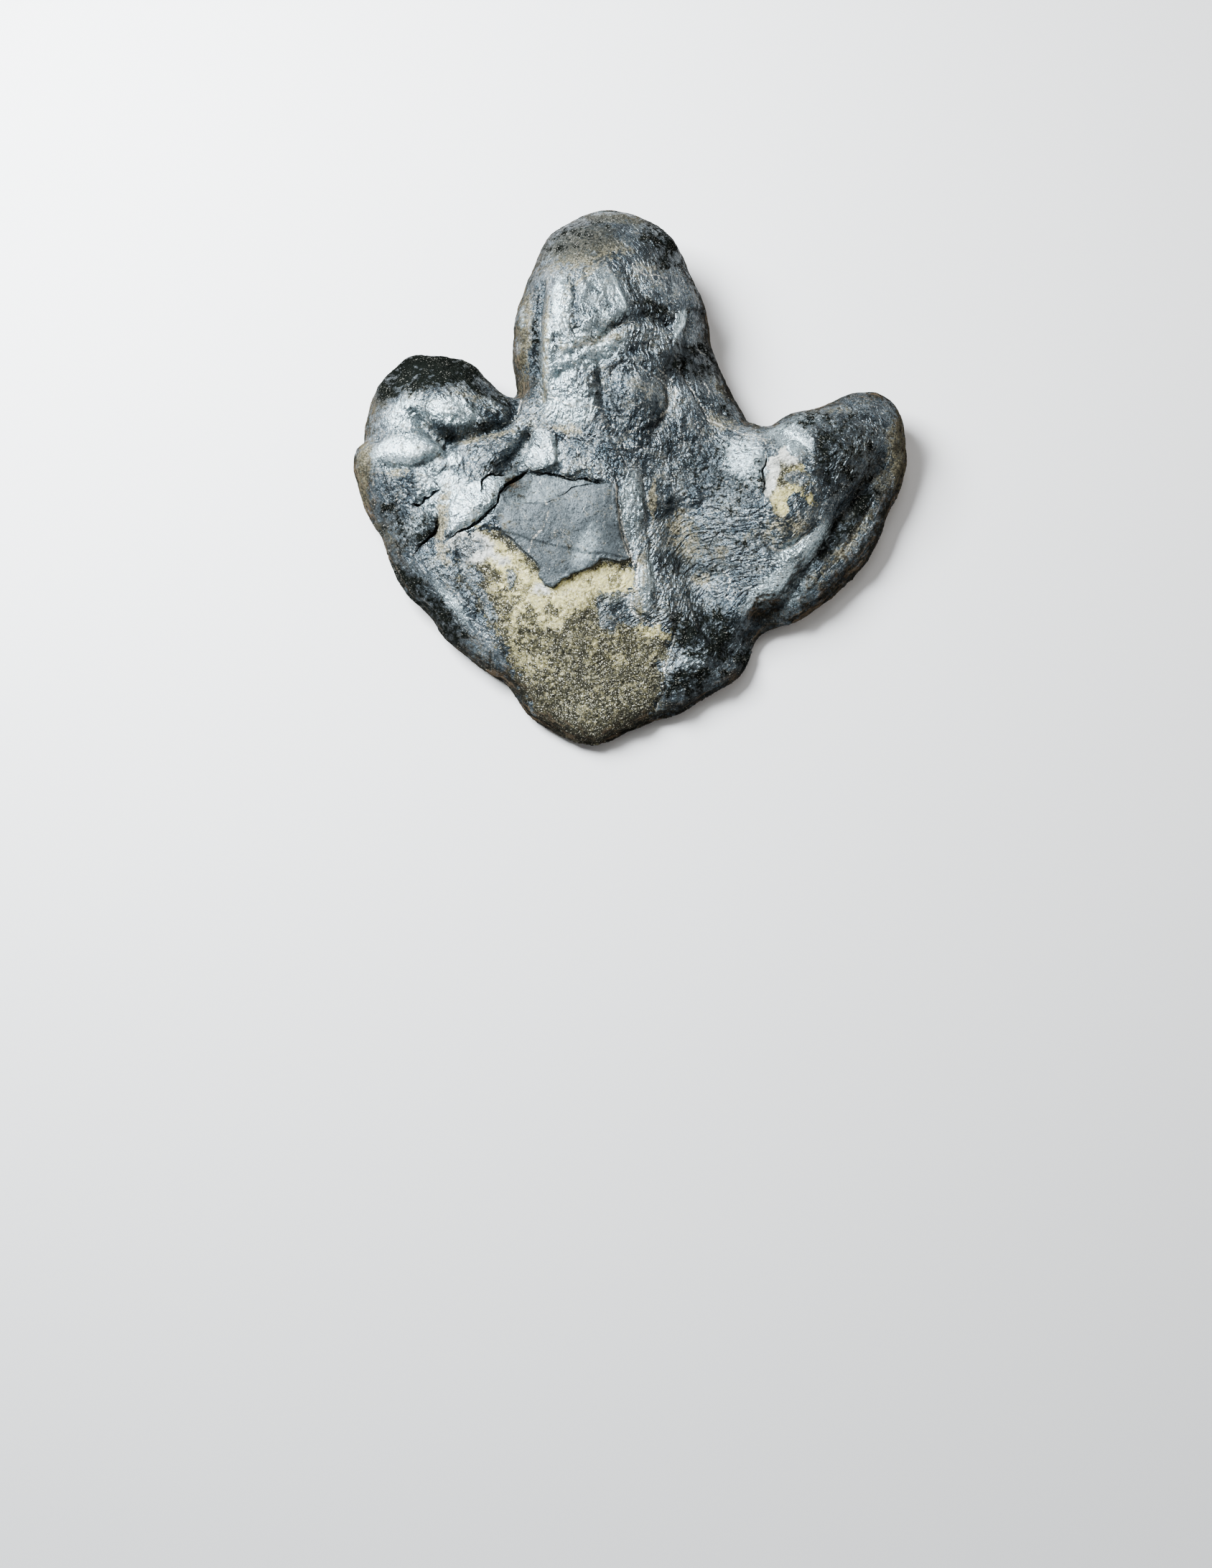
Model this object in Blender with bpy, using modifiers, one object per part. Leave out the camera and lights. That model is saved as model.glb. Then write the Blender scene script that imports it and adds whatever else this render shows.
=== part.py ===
"""Natural cast of a three-toed dinosaur footprint: one stone, lying on its flat back.

The sole of the foot faces up. +Y runs from the heel to the middle toe and +X to the short outer
toe. A flat outline is extruded to a slab, the slab is lifted to the crests of the toes and the
heel, its sides are rolled under and stepped along the bedding, and the folds, furrows, plates and
cracks of the stone are worked into it. All sizes are metres.
"""

import bmesh
import bpy
import numpy as np
from mathutils import Vector, geometry, noise

OBJECT_NAME = "footprint_cast"
COLLECTION_NAME = "dinosaur_footprint"

# Driving sizes
LENGTH = 0.673            # heel tip to middle toe tip, along Y
WIDTH = 0.686             # across the two outer toes, along X
HEIGHT = 0.152            # flat back to the crest of the middle toe

# The edge of the stone, seen from above
SLAB_HEIGHT = 0.036       # thickness of the slab that the stone is lifted from
ROLL_WIDTH = 0.088        # how far in from the edge the rounded flank reaches
ROLL_POWER = 2.2          # 2 is a quarter circle, more is a fuller shoulder
UNDERCUT = 0.50           # how far the flat back stays inside the widest line, in rim heights
UNDERCUT_POWER = 1.8      # 1 is a straight slope, more is a rounder belly
UNDERCUT_FADE = 0.040     # how far in the pull of the undercut is felt

# Working grid of the sculpted mesh, and the faces left in the finished one
COARSE_GRID = 0.006
FINE_GRID = 0.0038
FACE_TARGET = 9400
BEND_STEPS = 5            # curve steps between two outline points
FLAT_TOLERANCE = 0.0012   # anything this close to the floor belongs to the flat back

# Outline, from the notch left of the middle toe and round by the heel
OUTLINE = {
    "left toe": [
        (-0.148, 0.101), (-0.173, 0.117), (-0.199, 0.141), (-0.221, 0.147), (-0.244, 0.152),
        (-0.261, 0.152), (-0.277, 0.148), (-0.290, 0.139), (-0.304, 0.124), (-0.319, 0.102),
        (-0.333, 0.057), (-0.334, 0.042), (-0.342, 0.028), (-0.343, 0.013), (-0.339, -0.008),
        (-0.329, -0.043), (-0.320, -0.060)],
    "left flank": [
        (-0.309, -0.073), (-0.299, -0.102), (-0.290, -0.122), (-0.268, -0.156), (-0.243, -0.179),
        (-0.234, -0.195), (-0.220, -0.208), (-0.193, -0.232), (-0.171, -0.249)],
    "heel": [
        (-0.155, -0.257), (-0.143, -0.273), (-0.132, -0.290), (-0.112, -0.306), (-0.097, -0.316),
        (-0.078, -0.327), (-0.062, -0.334), (-0.047, -0.333), (-0.026, -0.327), (-0.002, -0.316),
        (0.031, -0.303), (0.054, -0.298), (0.075, -0.284), (0.108, -0.265), (0.131, -0.249),
        (0.140, -0.236), (0.145, -0.224), (0.149, -0.211)],
    "outer flange": [
        (0.155, -0.200), (0.165, -0.193), (0.183, -0.186), (0.206, -0.178), (0.225, -0.165),
        (0.247, -0.150), (0.269, -0.128), (0.288, -0.108), (0.301, -0.089), (0.312, -0.065),
        (0.322, -0.039), (0.333, -0.014), (0.342, 0.016)],
    "right toe": [
        (0.342, 0.043), (0.341, 0.063), (0.335, 0.080), (0.324, 0.096), (0.306, 0.106),
        (0.286, 0.103), (0.263, 0.100), (0.241, 0.089), (0.224, 0.084), (0.204, 0.081),
        (0.186, 0.071), (0.166, 0.060)],
    "middle toe": [
        (0.149, 0.066), (0.139, 0.079), (0.128, 0.101), (0.114, 0.132), (0.103, 0.162),
        (0.095, 0.204), (0.086, 0.232), (0.065, 0.280), (0.051, 0.302), (0.022, 0.321),
        (-0.012, 0.334), (-0.034, 0.335), (-0.064, 0.326), (-0.088, 0.314), (-0.105, 0.301),
        (-0.117, 0.280), (-0.128, 0.252), (-0.142, 0.210), (-0.146, 0.189), (-0.148, 0.151),
        (-0.147, 0.131), (-0.144, 0.118)],
}

# Crest stations: place and height of the stone well inside its edge
CREST_SPREAD = 0.050
CREST = [
    (-0.031, 0.171, 0.152), (-0.027, 0.256, 0.118), (-0.079, 0.206, 0.142), (0.049, 0.191, 0.100),
    (-0.011, 0.066, 0.116), (0.064, 0.081, 0.076),
    (-0.236, 0.076, 0.102), (-0.276, 0.101, 0.086), (-0.263, 0.003, 0.092), (-0.286, -0.069, 0.064),
    (-0.166, 0.021, 0.082), (-0.186, -0.069, 0.086), (-0.251, -0.119, 0.058),
    (-0.041, -0.019, 0.086), (-0.081, -0.094, 0.076), (-0.086, -0.189, 0.064),
    (-0.066, -0.299, 0.042), (0.019, -0.159, 0.060), (0.029, -0.259, 0.042),
    (0.069, -0.129, 0.042), (0.099, -0.224, 0.036), (0.059, -0.039, 0.062),
    (0.189, -0.009, 0.096), (0.244, 0.011, 0.100), (0.297, 0.053, 0.072), (0.189, -0.089, 0.084),
    (0.169, -0.154, 0.060), (0.259, -0.109, 0.042), (0.304, -0.039, 0.046),
]

# Rim stations: place along the edge and the height at which the stone is widest there
RIM_SPREAD = 0.045
RIM = [
    (-0.146, 0.106, 0.034), (-0.201, 0.141, 0.042), (-0.271, 0.151, 0.050), (-0.341, 0.021, 0.034),
    (-0.301, -0.099, 0.024), (-0.231, -0.199, 0.018), (-0.061, -0.334, 0.014),
    (0.059, -0.299, 0.014), (0.139, -0.239, 0.016), (0.229, -0.159, 0.018), (0.334, -0.019, 0.024),
    (0.319, 0.101, 0.042), (0.159, 0.061, 0.036), (0.099, 0.181, 0.038), (-0.021, 0.331, 0.056),
    (-0.136, 0.221, 0.040),
]

# Swellings: x, y, reach along, reach across, turn in degrees, height
SWELLINGS = {
    "knob pad of the middle toe": (0.006, 0.070, 0.030, 0.032, 0, 0.0085),
    "ridge along the middle toe": (-0.100, 0.130, 0.085, 0.008, 88, 0.0055),
    "brow of the middle toe": (-0.081, 0.182, 0.046, 0.020, 80, 0.0050),
    "left border ridge": (-0.136, 0.140, 0.050, 0.007, 92, 0.0035),
    "left toe hump": (-0.226, 0.072, 0.050, 0.026, -12, 0.0085),
    "left toe pad": (-0.266, 0.008, 0.036, 0.018, 8, 0.0075),
    "silver slab": (-0.190, -0.056, 0.034, 0.018, 50, 0.0050),
    "left shoulder": (-0.240, -0.132, 0.036, 0.020, -55, 0.0050),
    "ribbed strip": (0.014, -0.140, 0.042, 0.012, 88, 0.0065),
    "strip above": (0.004, -0.062, 0.044, 0.018, 88, 0.0035),
    "right toe pad": (0.182, -0.028, 0.052, 0.034, 85, 0.0075),
    "right toe back": (0.262, 0.020, 0.046, 0.026, 40, 0.0060),
    "lower right pad": (0.182, -0.135, 0.044, 0.022, 38, 0.0070),
    "heel dome": (-0.100, -0.200, 0.070, 0.046, -50, 0.0055),
    "heel lobe": (0.094, -0.232, 0.034, 0.020, 35, 0.0060),
}

# Grooves: points along the line, half width, depth (a sharper one has the smaller exponent)
GROOVES = {
    "valley between heel and outer toe": (
        [(0.056, -0.064), (0.068, -0.104), (0.078, -0.146), (0.094, -0.190), (0.118, -0.216),
         (0.148, -0.212)], 0.020, 0.0120, 2.0),
    "heel crease": (
        [(0.058, -0.170), (0.054, -0.206), (0.042, -0.229), (0.034, -0.244), (0.038, -0.268),
         (0.030, -0.292)], 0.008, 0.0055, 1.4),
    "furrow inside the flange": (
        [(0.312, 0.014), (0.283, -0.030), (0.253, -0.068), (0.242, -0.094), (0.219, -0.118),
         (0.199, -0.147), (0.181, -0.172), (0.160, -0.184)], 0.013, 0.0125, 1.6),
    "groove beside the ridge": (
        [(-0.112, 0.205), (-0.116, 0.165), (-0.118, 0.130), (-0.117, 0.100), (-0.110, 0.070)],
        0.008, 0.0065, 1.7),
    "fold across the left toe": (
        [(-0.260, 0.050), (-0.243, 0.033), (-0.226, 0.020), (-0.205, 0.030), (-0.174, 0.040),
         (-0.150, 0.052), (-0.140, 0.084), (-0.145, 0.112)], 0.009, 0.0120, 1.4),
    "crease below the left pad": (
        [(-0.300, -0.002), (-0.259, -0.009), (-0.236, 0.004), (-0.220, 0.018)],
        0.006, 0.0055, 1.4),
    "hollow under the fold": (
        [(-0.158, -0.016), (-0.144, 0.002), (-0.133, 0.018), (-0.127, 0.033)],
        0.010, 0.0130, 1.8),
    "groove left of the knob": (
        [(-0.036, 0.108), (-0.038, 0.080), (-0.033, 0.056), (-0.021, 0.038), (-0.006, 0.024)],
        0.008, 0.0080, 1.6),
    "groove right of the knob": (
        [(0.044, 0.102), (0.047, 0.075), (0.040, 0.050), (0.026, 0.030)], 0.008, 0.0050, 1.6),
    "wrinkle over the middle toe": (
        [(-0.070, 0.118), (-0.056, 0.128), (-0.034, 0.138), (-0.012, 0.162), (0.018, 0.172),
         (0.046, 0.166)], 0.007, 0.0060, 1.4),
    "second wrinkle": (
        [(-0.092, 0.096), (-0.064, 0.103), (-0.038, 0.116), (-0.008, 0.126), (0.023, 0.134)],
        0.006, 0.0045, 1.4),
    "crescent below the outer pad": (
        [(0.160, -0.080), (0.163, -0.097), (0.172, -0.107), (0.184, -0.108), (0.200, -0.100),
         (0.219, -0.079), (0.226, -0.056)], 0.006, 0.0050, 1.4),
    "dimple left of the outer pad": (
        [(0.163, 0.002), (0.157, -0.014), (0.160, -0.040)], 0.006, 0.0045, 1.4),
    "overhang at the left edge": (
        [(-0.352, 0.046), (-0.332, 0.043), (-0.312, 0.032)], 0.007, 0.0065, 1.4),
    "ledge in the left flank": (
        [(-0.240, -0.054), (-0.238, -0.074), (-0.244, -0.090), (-0.258, -0.097), (-0.272, -0.110)],
        0.006, 0.0070, 1.2),
    "shoulder above the heel wall": (
        [(-0.268, -0.124), (-0.243, -0.155), (-0.216, -0.180), (-0.196, -0.206), (-0.176, -0.228),
         (-0.150, -0.258), (-0.122, -0.284)], 0.006, 0.0035, 1.4),
}

# Cracks: narrow, steep, and the same depth all along
CRACK_HALF_WIDTH = 0.0042
CRACK_DEPTH = 0.0070
CRACKS = {
    "main": [(-0.130, -0.014), (-0.151, -0.032), (-0.160, -0.043), (-0.165, -0.055),
             (-0.177, -0.068), (-0.188, -0.077), (-0.211, -0.086), (-0.219, -0.092)],
    "right branch": [(-0.130, -0.014), (-0.103, -0.016), (-0.086, -0.021), (-0.059, -0.023),
                     (-0.036, -0.029)],
    "under the fold": [(-0.182, -0.026), (-0.172, -0.019), (-0.154, -0.014)],
    "left gap": [(-0.238, -0.036), (-0.251, -0.044), (-0.264, -0.052)],
}

# Plates: outline and how far the surface inside stands above (or below) what is round it
PLATE_EDGE = 0.0028
PLATES = {
    "skin plate": (
        [(-0.150, -0.056), (-0.030, -0.034), (-0.018, -0.060), (-0.014, -0.094), (0.002, -0.120),
         (-0.024, -0.122), (-0.038, -0.121), (-0.047, -0.129), (-0.072, -0.140), (-0.096, -0.156),
         (-0.106, -0.151), (-0.113, -0.140), (-0.110, -0.133), (-0.127, -0.115),
         (-0.155, -0.087)], 0.0032),
    "flaked heel": (
        [(-0.213, -0.091), (-0.155, -0.087), (-0.111, -0.133), (-0.096, -0.156), (-0.047, -0.129),
         (-0.001, -0.122), (-0.001, -0.178), (0.034, -0.195), (0.054, -0.206), (0.042, -0.229),
         (0.034, -0.244), (0.034, -0.276), (-0.091, -0.296), (-0.138, -0.250), (-0.168, -0.194),
         (-0.209, -0.123)], -0.0025),
    "flake on the middle toe": (
        [(-0.062, 0.227), (-0.008, 0.236), (-0.020, 0.213), (-0.006, 0.187), (-0.008, 0.168),
         (-0.030, 0.155), (-0.058, 0.150), (-0.068, 0.185)], 0.0032),
    "pale flake on the outer toe": (
        [(0.162, 0.020), (0.185, 0.040), (0.217, 0.018), (0.214, -0.016), (0.198, -0.060),
         (0.174, -0.062), (0.162, -0.040)], -0.0028),
    "overlapping fold": (
        [(-0.124, 0.042), (-0.095, 0.028), (-0.090, -0.008), (-0.121, -0.012), (-0.132, -0.003),
         (-0.126, 0.013)], 0.0035),
    "slab left of the crack": (
        [(-0.131, -0.013), (-0.152, -0.032), (-0.165, -0.055), (-0.188, -0.077), (-0.217, -0.089),
         (-0.224, -0.060), (-0.204, -0.032), (-0.176, -0.020)], 0.0030),
    "bare flank of the middle toe": (
        [(0.070, 0.200), (0.065, 0.149), (0.062, 0.112), (0.076, 0.087), (0.097, 0.054),
         (0.150, 0.050), (0.140, 0.110), (0.105, 0.210)], -0.0032),
}

# Bedding ledges round the sides: spacing, how far they stand out, how wavy they run
LEDGE_PITCH = 0.0125
LEDGE_DEPTH = 0.0046
LEDGE_WAVER = 0.70
LEDGE_TOP = 0.052
LEDGE_GRAIN = 9.0         # waves per metre

# Weathering lumps: (grain in lumps per metre, height)
LUMPS = [(13.0, 0.0030), (33.0, 0.0020), (75.0, 0.0010)]
SEED = Vector((3.7, 11.2, 5.9))


def clear_scene():
    """Remove whatever the file opened with."""
    for item in list(bpy.data.objects):
        bpy.data.objects.remove(item, do_unlink=True)


def new_collection(name):
    """A collection linked to the scene."""
    collection = bpy.data.collections.new(name)
    bpy.context.scene.collection.children.link(collection)
    return collection


def stone_material():
    """Dark, slightly shiny carbon-rich skin over sandstone."""
    material = bpy.data.materials.new("carbon_skinned_sandstone")
    material.use_nodes = True
    shader = material.node_tree.nodes["Principled BSDF"]
    shader.inputs["Base Color"].default_value = (0.115, 0.125, 0.130, 1.0)
    shader.inputs["Roughness"].default_value = 0.42
    shader.inputs["Metallic"].default_value = 0.0
    return material


def outline_curve(collection):
    """The closed flat outline as a 2D curve, extruded to a slab."""
    points = [point for stretch in OUTLINE.values() for point in stretch]
    curve = bpy.data.curves.new("outline", "CURVE")
    curve.dimensions = "2D"
    curve.fill_mode = "BOTH"
    curve.extrude = SLAB_HEIGHT / 2
    curve.resolution_u = BEND_STEPS
    spline = curve.splines.new("BEZIER")
    spline.bezier_points.add(len(points) - 1)
    spline.use_cyclic_u = True
    for knot, (x, y) in zip(spline.bezier_points, points):
        knot.co = (x, y, 0.0)
        knot.handle_left_type = "AUTO"
        knot.handle_right_type = "AUTO"
    item = bpy.data.objects.new("outline", curve)
    item.location.z = SLAB_HEIGHT / 2
    collection.objects.link(item)
    bpy.context.view_layer.update()
    return item


def outline_points(curve_object):
    """Points along the smooth outline, closed, running anticlockwise seen from above."""
    knots = curve_object.data.splines[0].bezier_points
    path = []
    for knot, following in zip(knots, list(knots[1:]) + [knots[0]]):
        stretch = geometry.interpolate_bezier(
            knot.co, knot.handle_right, following.handle_left, following.co, BEND_STEPS + 1)
        path.extend((point.x, point.y) for point in stretch[:-1])
    return np.array(path)


def mesh_from_curve(curve_object, collection):
    """A welded mesh object in place of the curve."""
    graph = bpy.context.evaluated_depsgraph_get()
    mesh = bpy.data.meshes.new_from_object(curve_object.evaluated_get(graph))
    mesh.transform(curve_object.matrix_world)
    work = bmesh.new()
    work.from_mesh(mesh)
    bmesh.ops.remove_doubles(work, verts=work.verts, dist=0.0001)
    bmesh.ops.recalc_face_normals(work, faces=work.faces)
    work.to_mesh(mesh)
    work.free()
    item = bpy.data.objects.new(OBJECT_NAME, mesh)
    collection.objects.link(item)
    bpy.data.objects.remove(curve_object, do_unlink=True)
    return item


def apply_modifier(item, name, kind, **settings):
    """Add one modifier and apply it at once."""
    modifier = item.modifiers.new(name, kind)
    for key, value in settings.items():
        setattr(modifier, key, value)
    bpy.context.view_layer.objects.active = item
    bpy.ops.object.select_all(action="DESELECT")
    item.select_set(True)
    bpy.ops.object.modifier_apply(modifier=modifier.name)


def vertices_of(item):
    """Vertex places as an array of rows."""
    places = np.empty(len(item.data.vertices) * 3)
    item.data.vertices.foreach_get("co", places)
    return places.reshape(-1, 3)


def normals_of(item):
    """Vertex normals as an array of rows."""
    directions = np.empty(len(item.data.vertices) * 3, dtype=np.float32)
    item.data.vertex_normals.foreach_get("vector", directions)
    return directions.reshape(-1, 3).astype(float)


def put_vertices(item, places):
    """Write vertex places back."""
    item.data.vertices.foreach_set("co", places.ravel())
    item.data.update()


def smooth_step(value, low, high):
    """0 below low, 1 above high, and a soft rise between them."""
    share = np.clip((value - low) / (high - low), 0.0, 1.0)
    return share * share * (3 - 2 * share)


def distance_to_path(places, path, closed=False):
    """Distance in plan from each place to a path, and the index of its nearest stretch."""
    start = np.asarray(path, float)
    end = np.roll(start, -1, axis=0)
    if not closed:
        start, end = start[:-1], end[:-1]
    best = np.full(len(places), np.inf)
    nearest = np.zeros(len(places), int)
    for index, (here, there) in enumerate(zip(start, end)):
        span = there - here
        along = np.clip(((places[:, :2] - here) @ span) / (span @ span), 0.0, 1.0)
        gap = places[:, :2] - here - along[:, None] * span
        distance = np.hypot(gap[:, 0], gap[:, 1])
        closer = distance < best
        best[closer] = distance[closer]
        nearest[closer] = index
    return best, nearest


def inside_path(places, path):
    """True where a place lies inside a closed path, seen from above."""
    x, y = places[:, 0], places[:, 1]
    inside = np.zeros(len(places), bool)
    for (ax, ay), (bx, by) in zip(path, path[1:] + path[:1]):
        spans = (ay > y) != (by > y)
        with np.errstate(divide="ignore", invalid="ignore"):
            cross = ax + (y - ay) * (bx - ax) / (by - ay)
        inside ^= spans & (x < cross)
    return inside


def blend_of(places, stations, spread):
    """Height at each place: a soft blend of the stations round it."""
    total = np.zeros(len(places))
    weight_sum = np.zeros(len(places))
    for x, y, height in stations:
        square = (places[:, 0] - x) ** 2 + (places[:, 1] - y) ** 2
        weight = np.exp(-square / (2 * spread ** 2)) + 1e-9
        total += weight * height
        weight_sum += weight
    return total / weight_sum


def lift(item, path):
    """Raise the slab to its crests, with flanks rounded over ROLL_WIDTH."""
    places = vertices_of(item)
    distance, _ = distance_to_path(places, path, closed=True)
    share = np.clip(distance / ROLL_WIDTH, 0.0, 1.0)
    roll = (1 - (1 - share) ** ROLL_POWER) ** (1 / ROLL_POWER)
    rim = blend_of(places, RIM, RIM_SPREAD)
    top = rim + (blend_of(places, CREST, CREST_SPREAD) - rim) * roll
    places[:, 2] = np.clip(places[:, 2] / SLAB_HEIGHT, 0.0, 1.0) * top
    put_vertices(item, places)


def inward_directions(path, nearest):
    """Unit directions into the stone from the nearest stretch of an anticlockwise outline."""
    span = np.roll(path, -1, axis=0) - path
    span /= np.linalg.norm(span, axis=1)[:, None]
    inward = np.stack([-span[:, 1], span[:, 0]], axis=1)
    return inward[nearest]


def roll_under(item, path):
    """Pull the lowest part of the sides in, so the stone is widest at its rim."""
    places = vertices_of(item)
    distance, nearest = distance_to_path(places, path, closed=True)
    rim = blend_of(places, RIM, RIM_SPREAD)
    below = np.clip(1 - places[:, 2] / rim, 0.0, 1.0) ** UNDERCUT_POWER
    pull = UNDERCUT * rim * below * np.exp(-distance / UNDERCUT_FADE)
    places[:, :2] += inward_directions(path, nearest) * pull[:, None]
    put_vertices(item, places)


def noise_at(places, grain):
    """Smooth noise, about -1 to 1, with so many lumps per metre."""
    return np.array([noise.noise(Vector(place) * grain + SEED) for place in places])


def swelling_field(places):
    """Sum of the oval swellings."""
    field = np.zeros(len(places))
    for x, y, reach_along, reach_across, turn, height in SWELLINGS.values():
        cosine, sine = np.cos(np.radians(turn)), np.sin(np.radians(turn))
        along = (places[:, 0] - x) * cosine + (places[:, 1] - y) * sine
        across = (places[:, 1] - y) * cosine - (places[:, 0] - x) * sine
        field += height * np.exp(-(along / reach_along) ** 2 - (across / reach_across) ** 2)
    return field


def groove_field(places):
    """Grooves and cracks, as depths below the surface round them."""
    field = np.zeros(len(places))
    for path, half_width, depth, power in GROOVES.values():
        distance, _ = distance_to_path(places, path)
        field -= depth * np.exp(-(distance / half_width) ** power)
    for path in CRACKS.values():
        distance, _ = distance_to_path(places, path)
        field -= CRACK_DEPTH * np.clip(1 - distance / CRACK_HALF_WIDTH, 0.0, 1.0)
    return field


def plate_field(places):
    """Plates that stand above, or flakes lost below, the surface round them."""
    field = np.zeros(len(places))
    for path, height in PLATES.values():
        distance, _ = distance_to_path(places, path, closed=True)
        signed = np.where(inside_path(places, path), distance, -distance)
        field += height * smooth_step(signed, -PLATE_EDGE, PLATE_EDGE)
    return field


def work_the_sole(item):
    """Swellings, grooves, plates and weathering, all square to the surface."""
    places = vertices_of(item)
    directions = normals_of(item)
    facing_up = smooth_step(directions[:, 2], -0.05, 0.45)
    field = (swelling_field(places) + groove_field(places) + plate_field(places)) * facing_up
    off_floor = smooth_step(places[:, 2], 0.004, 0.020)
    for grain, height in LUMPS:
        field += height * noise_at(places, grain) * off_floor
    put_vertices(item, places + directions * field[:, None])


def step_the_sides(item):
    """Break the flanks into bedding ledges, boldest round the heel and the outer flange."""
    places = vertices_of(item)
    directions = normals_of(item)
    flat = directions[:, :2]
    side = smooth_step(np.hypot(flat[:, 0], flat[:, 1]), 0.55, 0.95)
    plan = np.column_stack([places[:, 0], places[:, 1], np.zeros(len(places))])
    phase = places[:, 2] / LEDGE_PITCH + LEDGE_WAVER * noise_at(plan, LEDGE_GRAIN)
    step = np.abs((phase % 1.0) - 0.5) * 2 - 0.5
    boldness = np.where(places[:, 1] < 0.0, 1.0, 0.45)
    low = 1 - smooth_step(places[:, 2], LEDGE_TOP * 0.7, LEDGE_TOP)
    places[:, :2] += flat * (LEDGE_DEPTH * step * side * boldness * low)[:, None]
    put_vertices(item, places)


def fit_to_size(item):
    """Exact length, width and height, centred over the origin, with a flat back on the floor."""
    places = vertices_of(item)
    low, high = places.min(axis=0), places.max(axis=0)
    size = np.array([WIDTH, LENGTH, HEIGHT])
    places = (places - low) / (high - low) * size
    places[:, :2] -= size[:2] / 2
    places[:, 2][places[:, 2] < FLAT_TOLERANCE] = 0.0
    put_vertices(item, places)


def build():
    """Model the stone."""
    clear_scene()
    collection = new_collection(COLLECTION_NAME)
    curve = outline_curve(collection)
    path = outline_points(curve)
    stone = mesh_from_curve(curve, collection)
    apply_modifier(stone, "Even grid", "REMESH", mode="VOXEL", voxel_size=COARSE_GRID)
    lift(stone, path)
    apply_modifier(stone, "Fine grid", "REMESH", mode="VOXEL", voxel_size=FINE_GRID)
    roll_under(stone, path)
    apply_modifier(stone, "Settle", "SMOOTH", factor=0.5, iterations=4)
    work_the_sole(stone)
    step_the_sides(stone)
    triangles = sum(len(face.vertices) - 2 for face in stone.data.polygons)
    apply_modifier(stone, "Fewer faces", "DECIMATE", ratio=FACE_TARGET / triangles,
                   use_collapse_triangulate=True)
    fit_to_size(stone)
    stone.data.materials.append(stone_material())
    stone.data.shade_smooth()


build()
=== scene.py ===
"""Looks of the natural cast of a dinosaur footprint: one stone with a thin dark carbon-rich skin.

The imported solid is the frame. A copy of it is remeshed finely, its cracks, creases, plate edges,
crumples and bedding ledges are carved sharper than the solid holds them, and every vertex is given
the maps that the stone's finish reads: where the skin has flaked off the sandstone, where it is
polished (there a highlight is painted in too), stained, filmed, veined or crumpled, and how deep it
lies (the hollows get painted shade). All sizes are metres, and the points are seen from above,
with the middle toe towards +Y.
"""

import bpy  # noqa: E402
import numpy as np  # noqa: E402
from bpy.props import FloatProperty, FloatVectorProperty, IntProperty, PointerProperty  # noqa: E402
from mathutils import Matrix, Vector, kdtree, noise  # noqa: E402


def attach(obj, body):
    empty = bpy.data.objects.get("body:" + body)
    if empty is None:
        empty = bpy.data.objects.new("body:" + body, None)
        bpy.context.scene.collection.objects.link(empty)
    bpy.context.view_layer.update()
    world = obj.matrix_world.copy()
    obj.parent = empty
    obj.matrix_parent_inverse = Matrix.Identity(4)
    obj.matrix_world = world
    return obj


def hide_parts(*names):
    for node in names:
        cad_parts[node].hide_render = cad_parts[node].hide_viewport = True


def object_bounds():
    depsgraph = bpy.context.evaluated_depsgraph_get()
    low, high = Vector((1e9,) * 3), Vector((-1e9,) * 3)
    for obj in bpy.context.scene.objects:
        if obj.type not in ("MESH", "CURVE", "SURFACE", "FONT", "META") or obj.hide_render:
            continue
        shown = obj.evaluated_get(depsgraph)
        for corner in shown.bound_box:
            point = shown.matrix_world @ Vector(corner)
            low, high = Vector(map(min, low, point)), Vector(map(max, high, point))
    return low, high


bl_info = {
    "name": "Dinosaur footprint cast",
    "version": (1, 0, 0),
    "blender": (4, 5, 0),
    "location": "3D View > Sidebar > Footprint",
    "description": "Builds the finished stone of a natural footprint cast, and its stage",
    "category": "Object",
}

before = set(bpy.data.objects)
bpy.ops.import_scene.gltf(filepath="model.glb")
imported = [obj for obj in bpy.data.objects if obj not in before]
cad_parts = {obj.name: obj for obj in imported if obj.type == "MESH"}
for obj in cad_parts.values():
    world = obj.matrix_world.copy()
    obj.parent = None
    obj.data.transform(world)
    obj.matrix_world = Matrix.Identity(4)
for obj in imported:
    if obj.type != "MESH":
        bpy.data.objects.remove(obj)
CAD_LOW, CAD_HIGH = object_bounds()

CAD_NODE = "footprint_cast"
PIECE = "fossil_footprint_stone"

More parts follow.
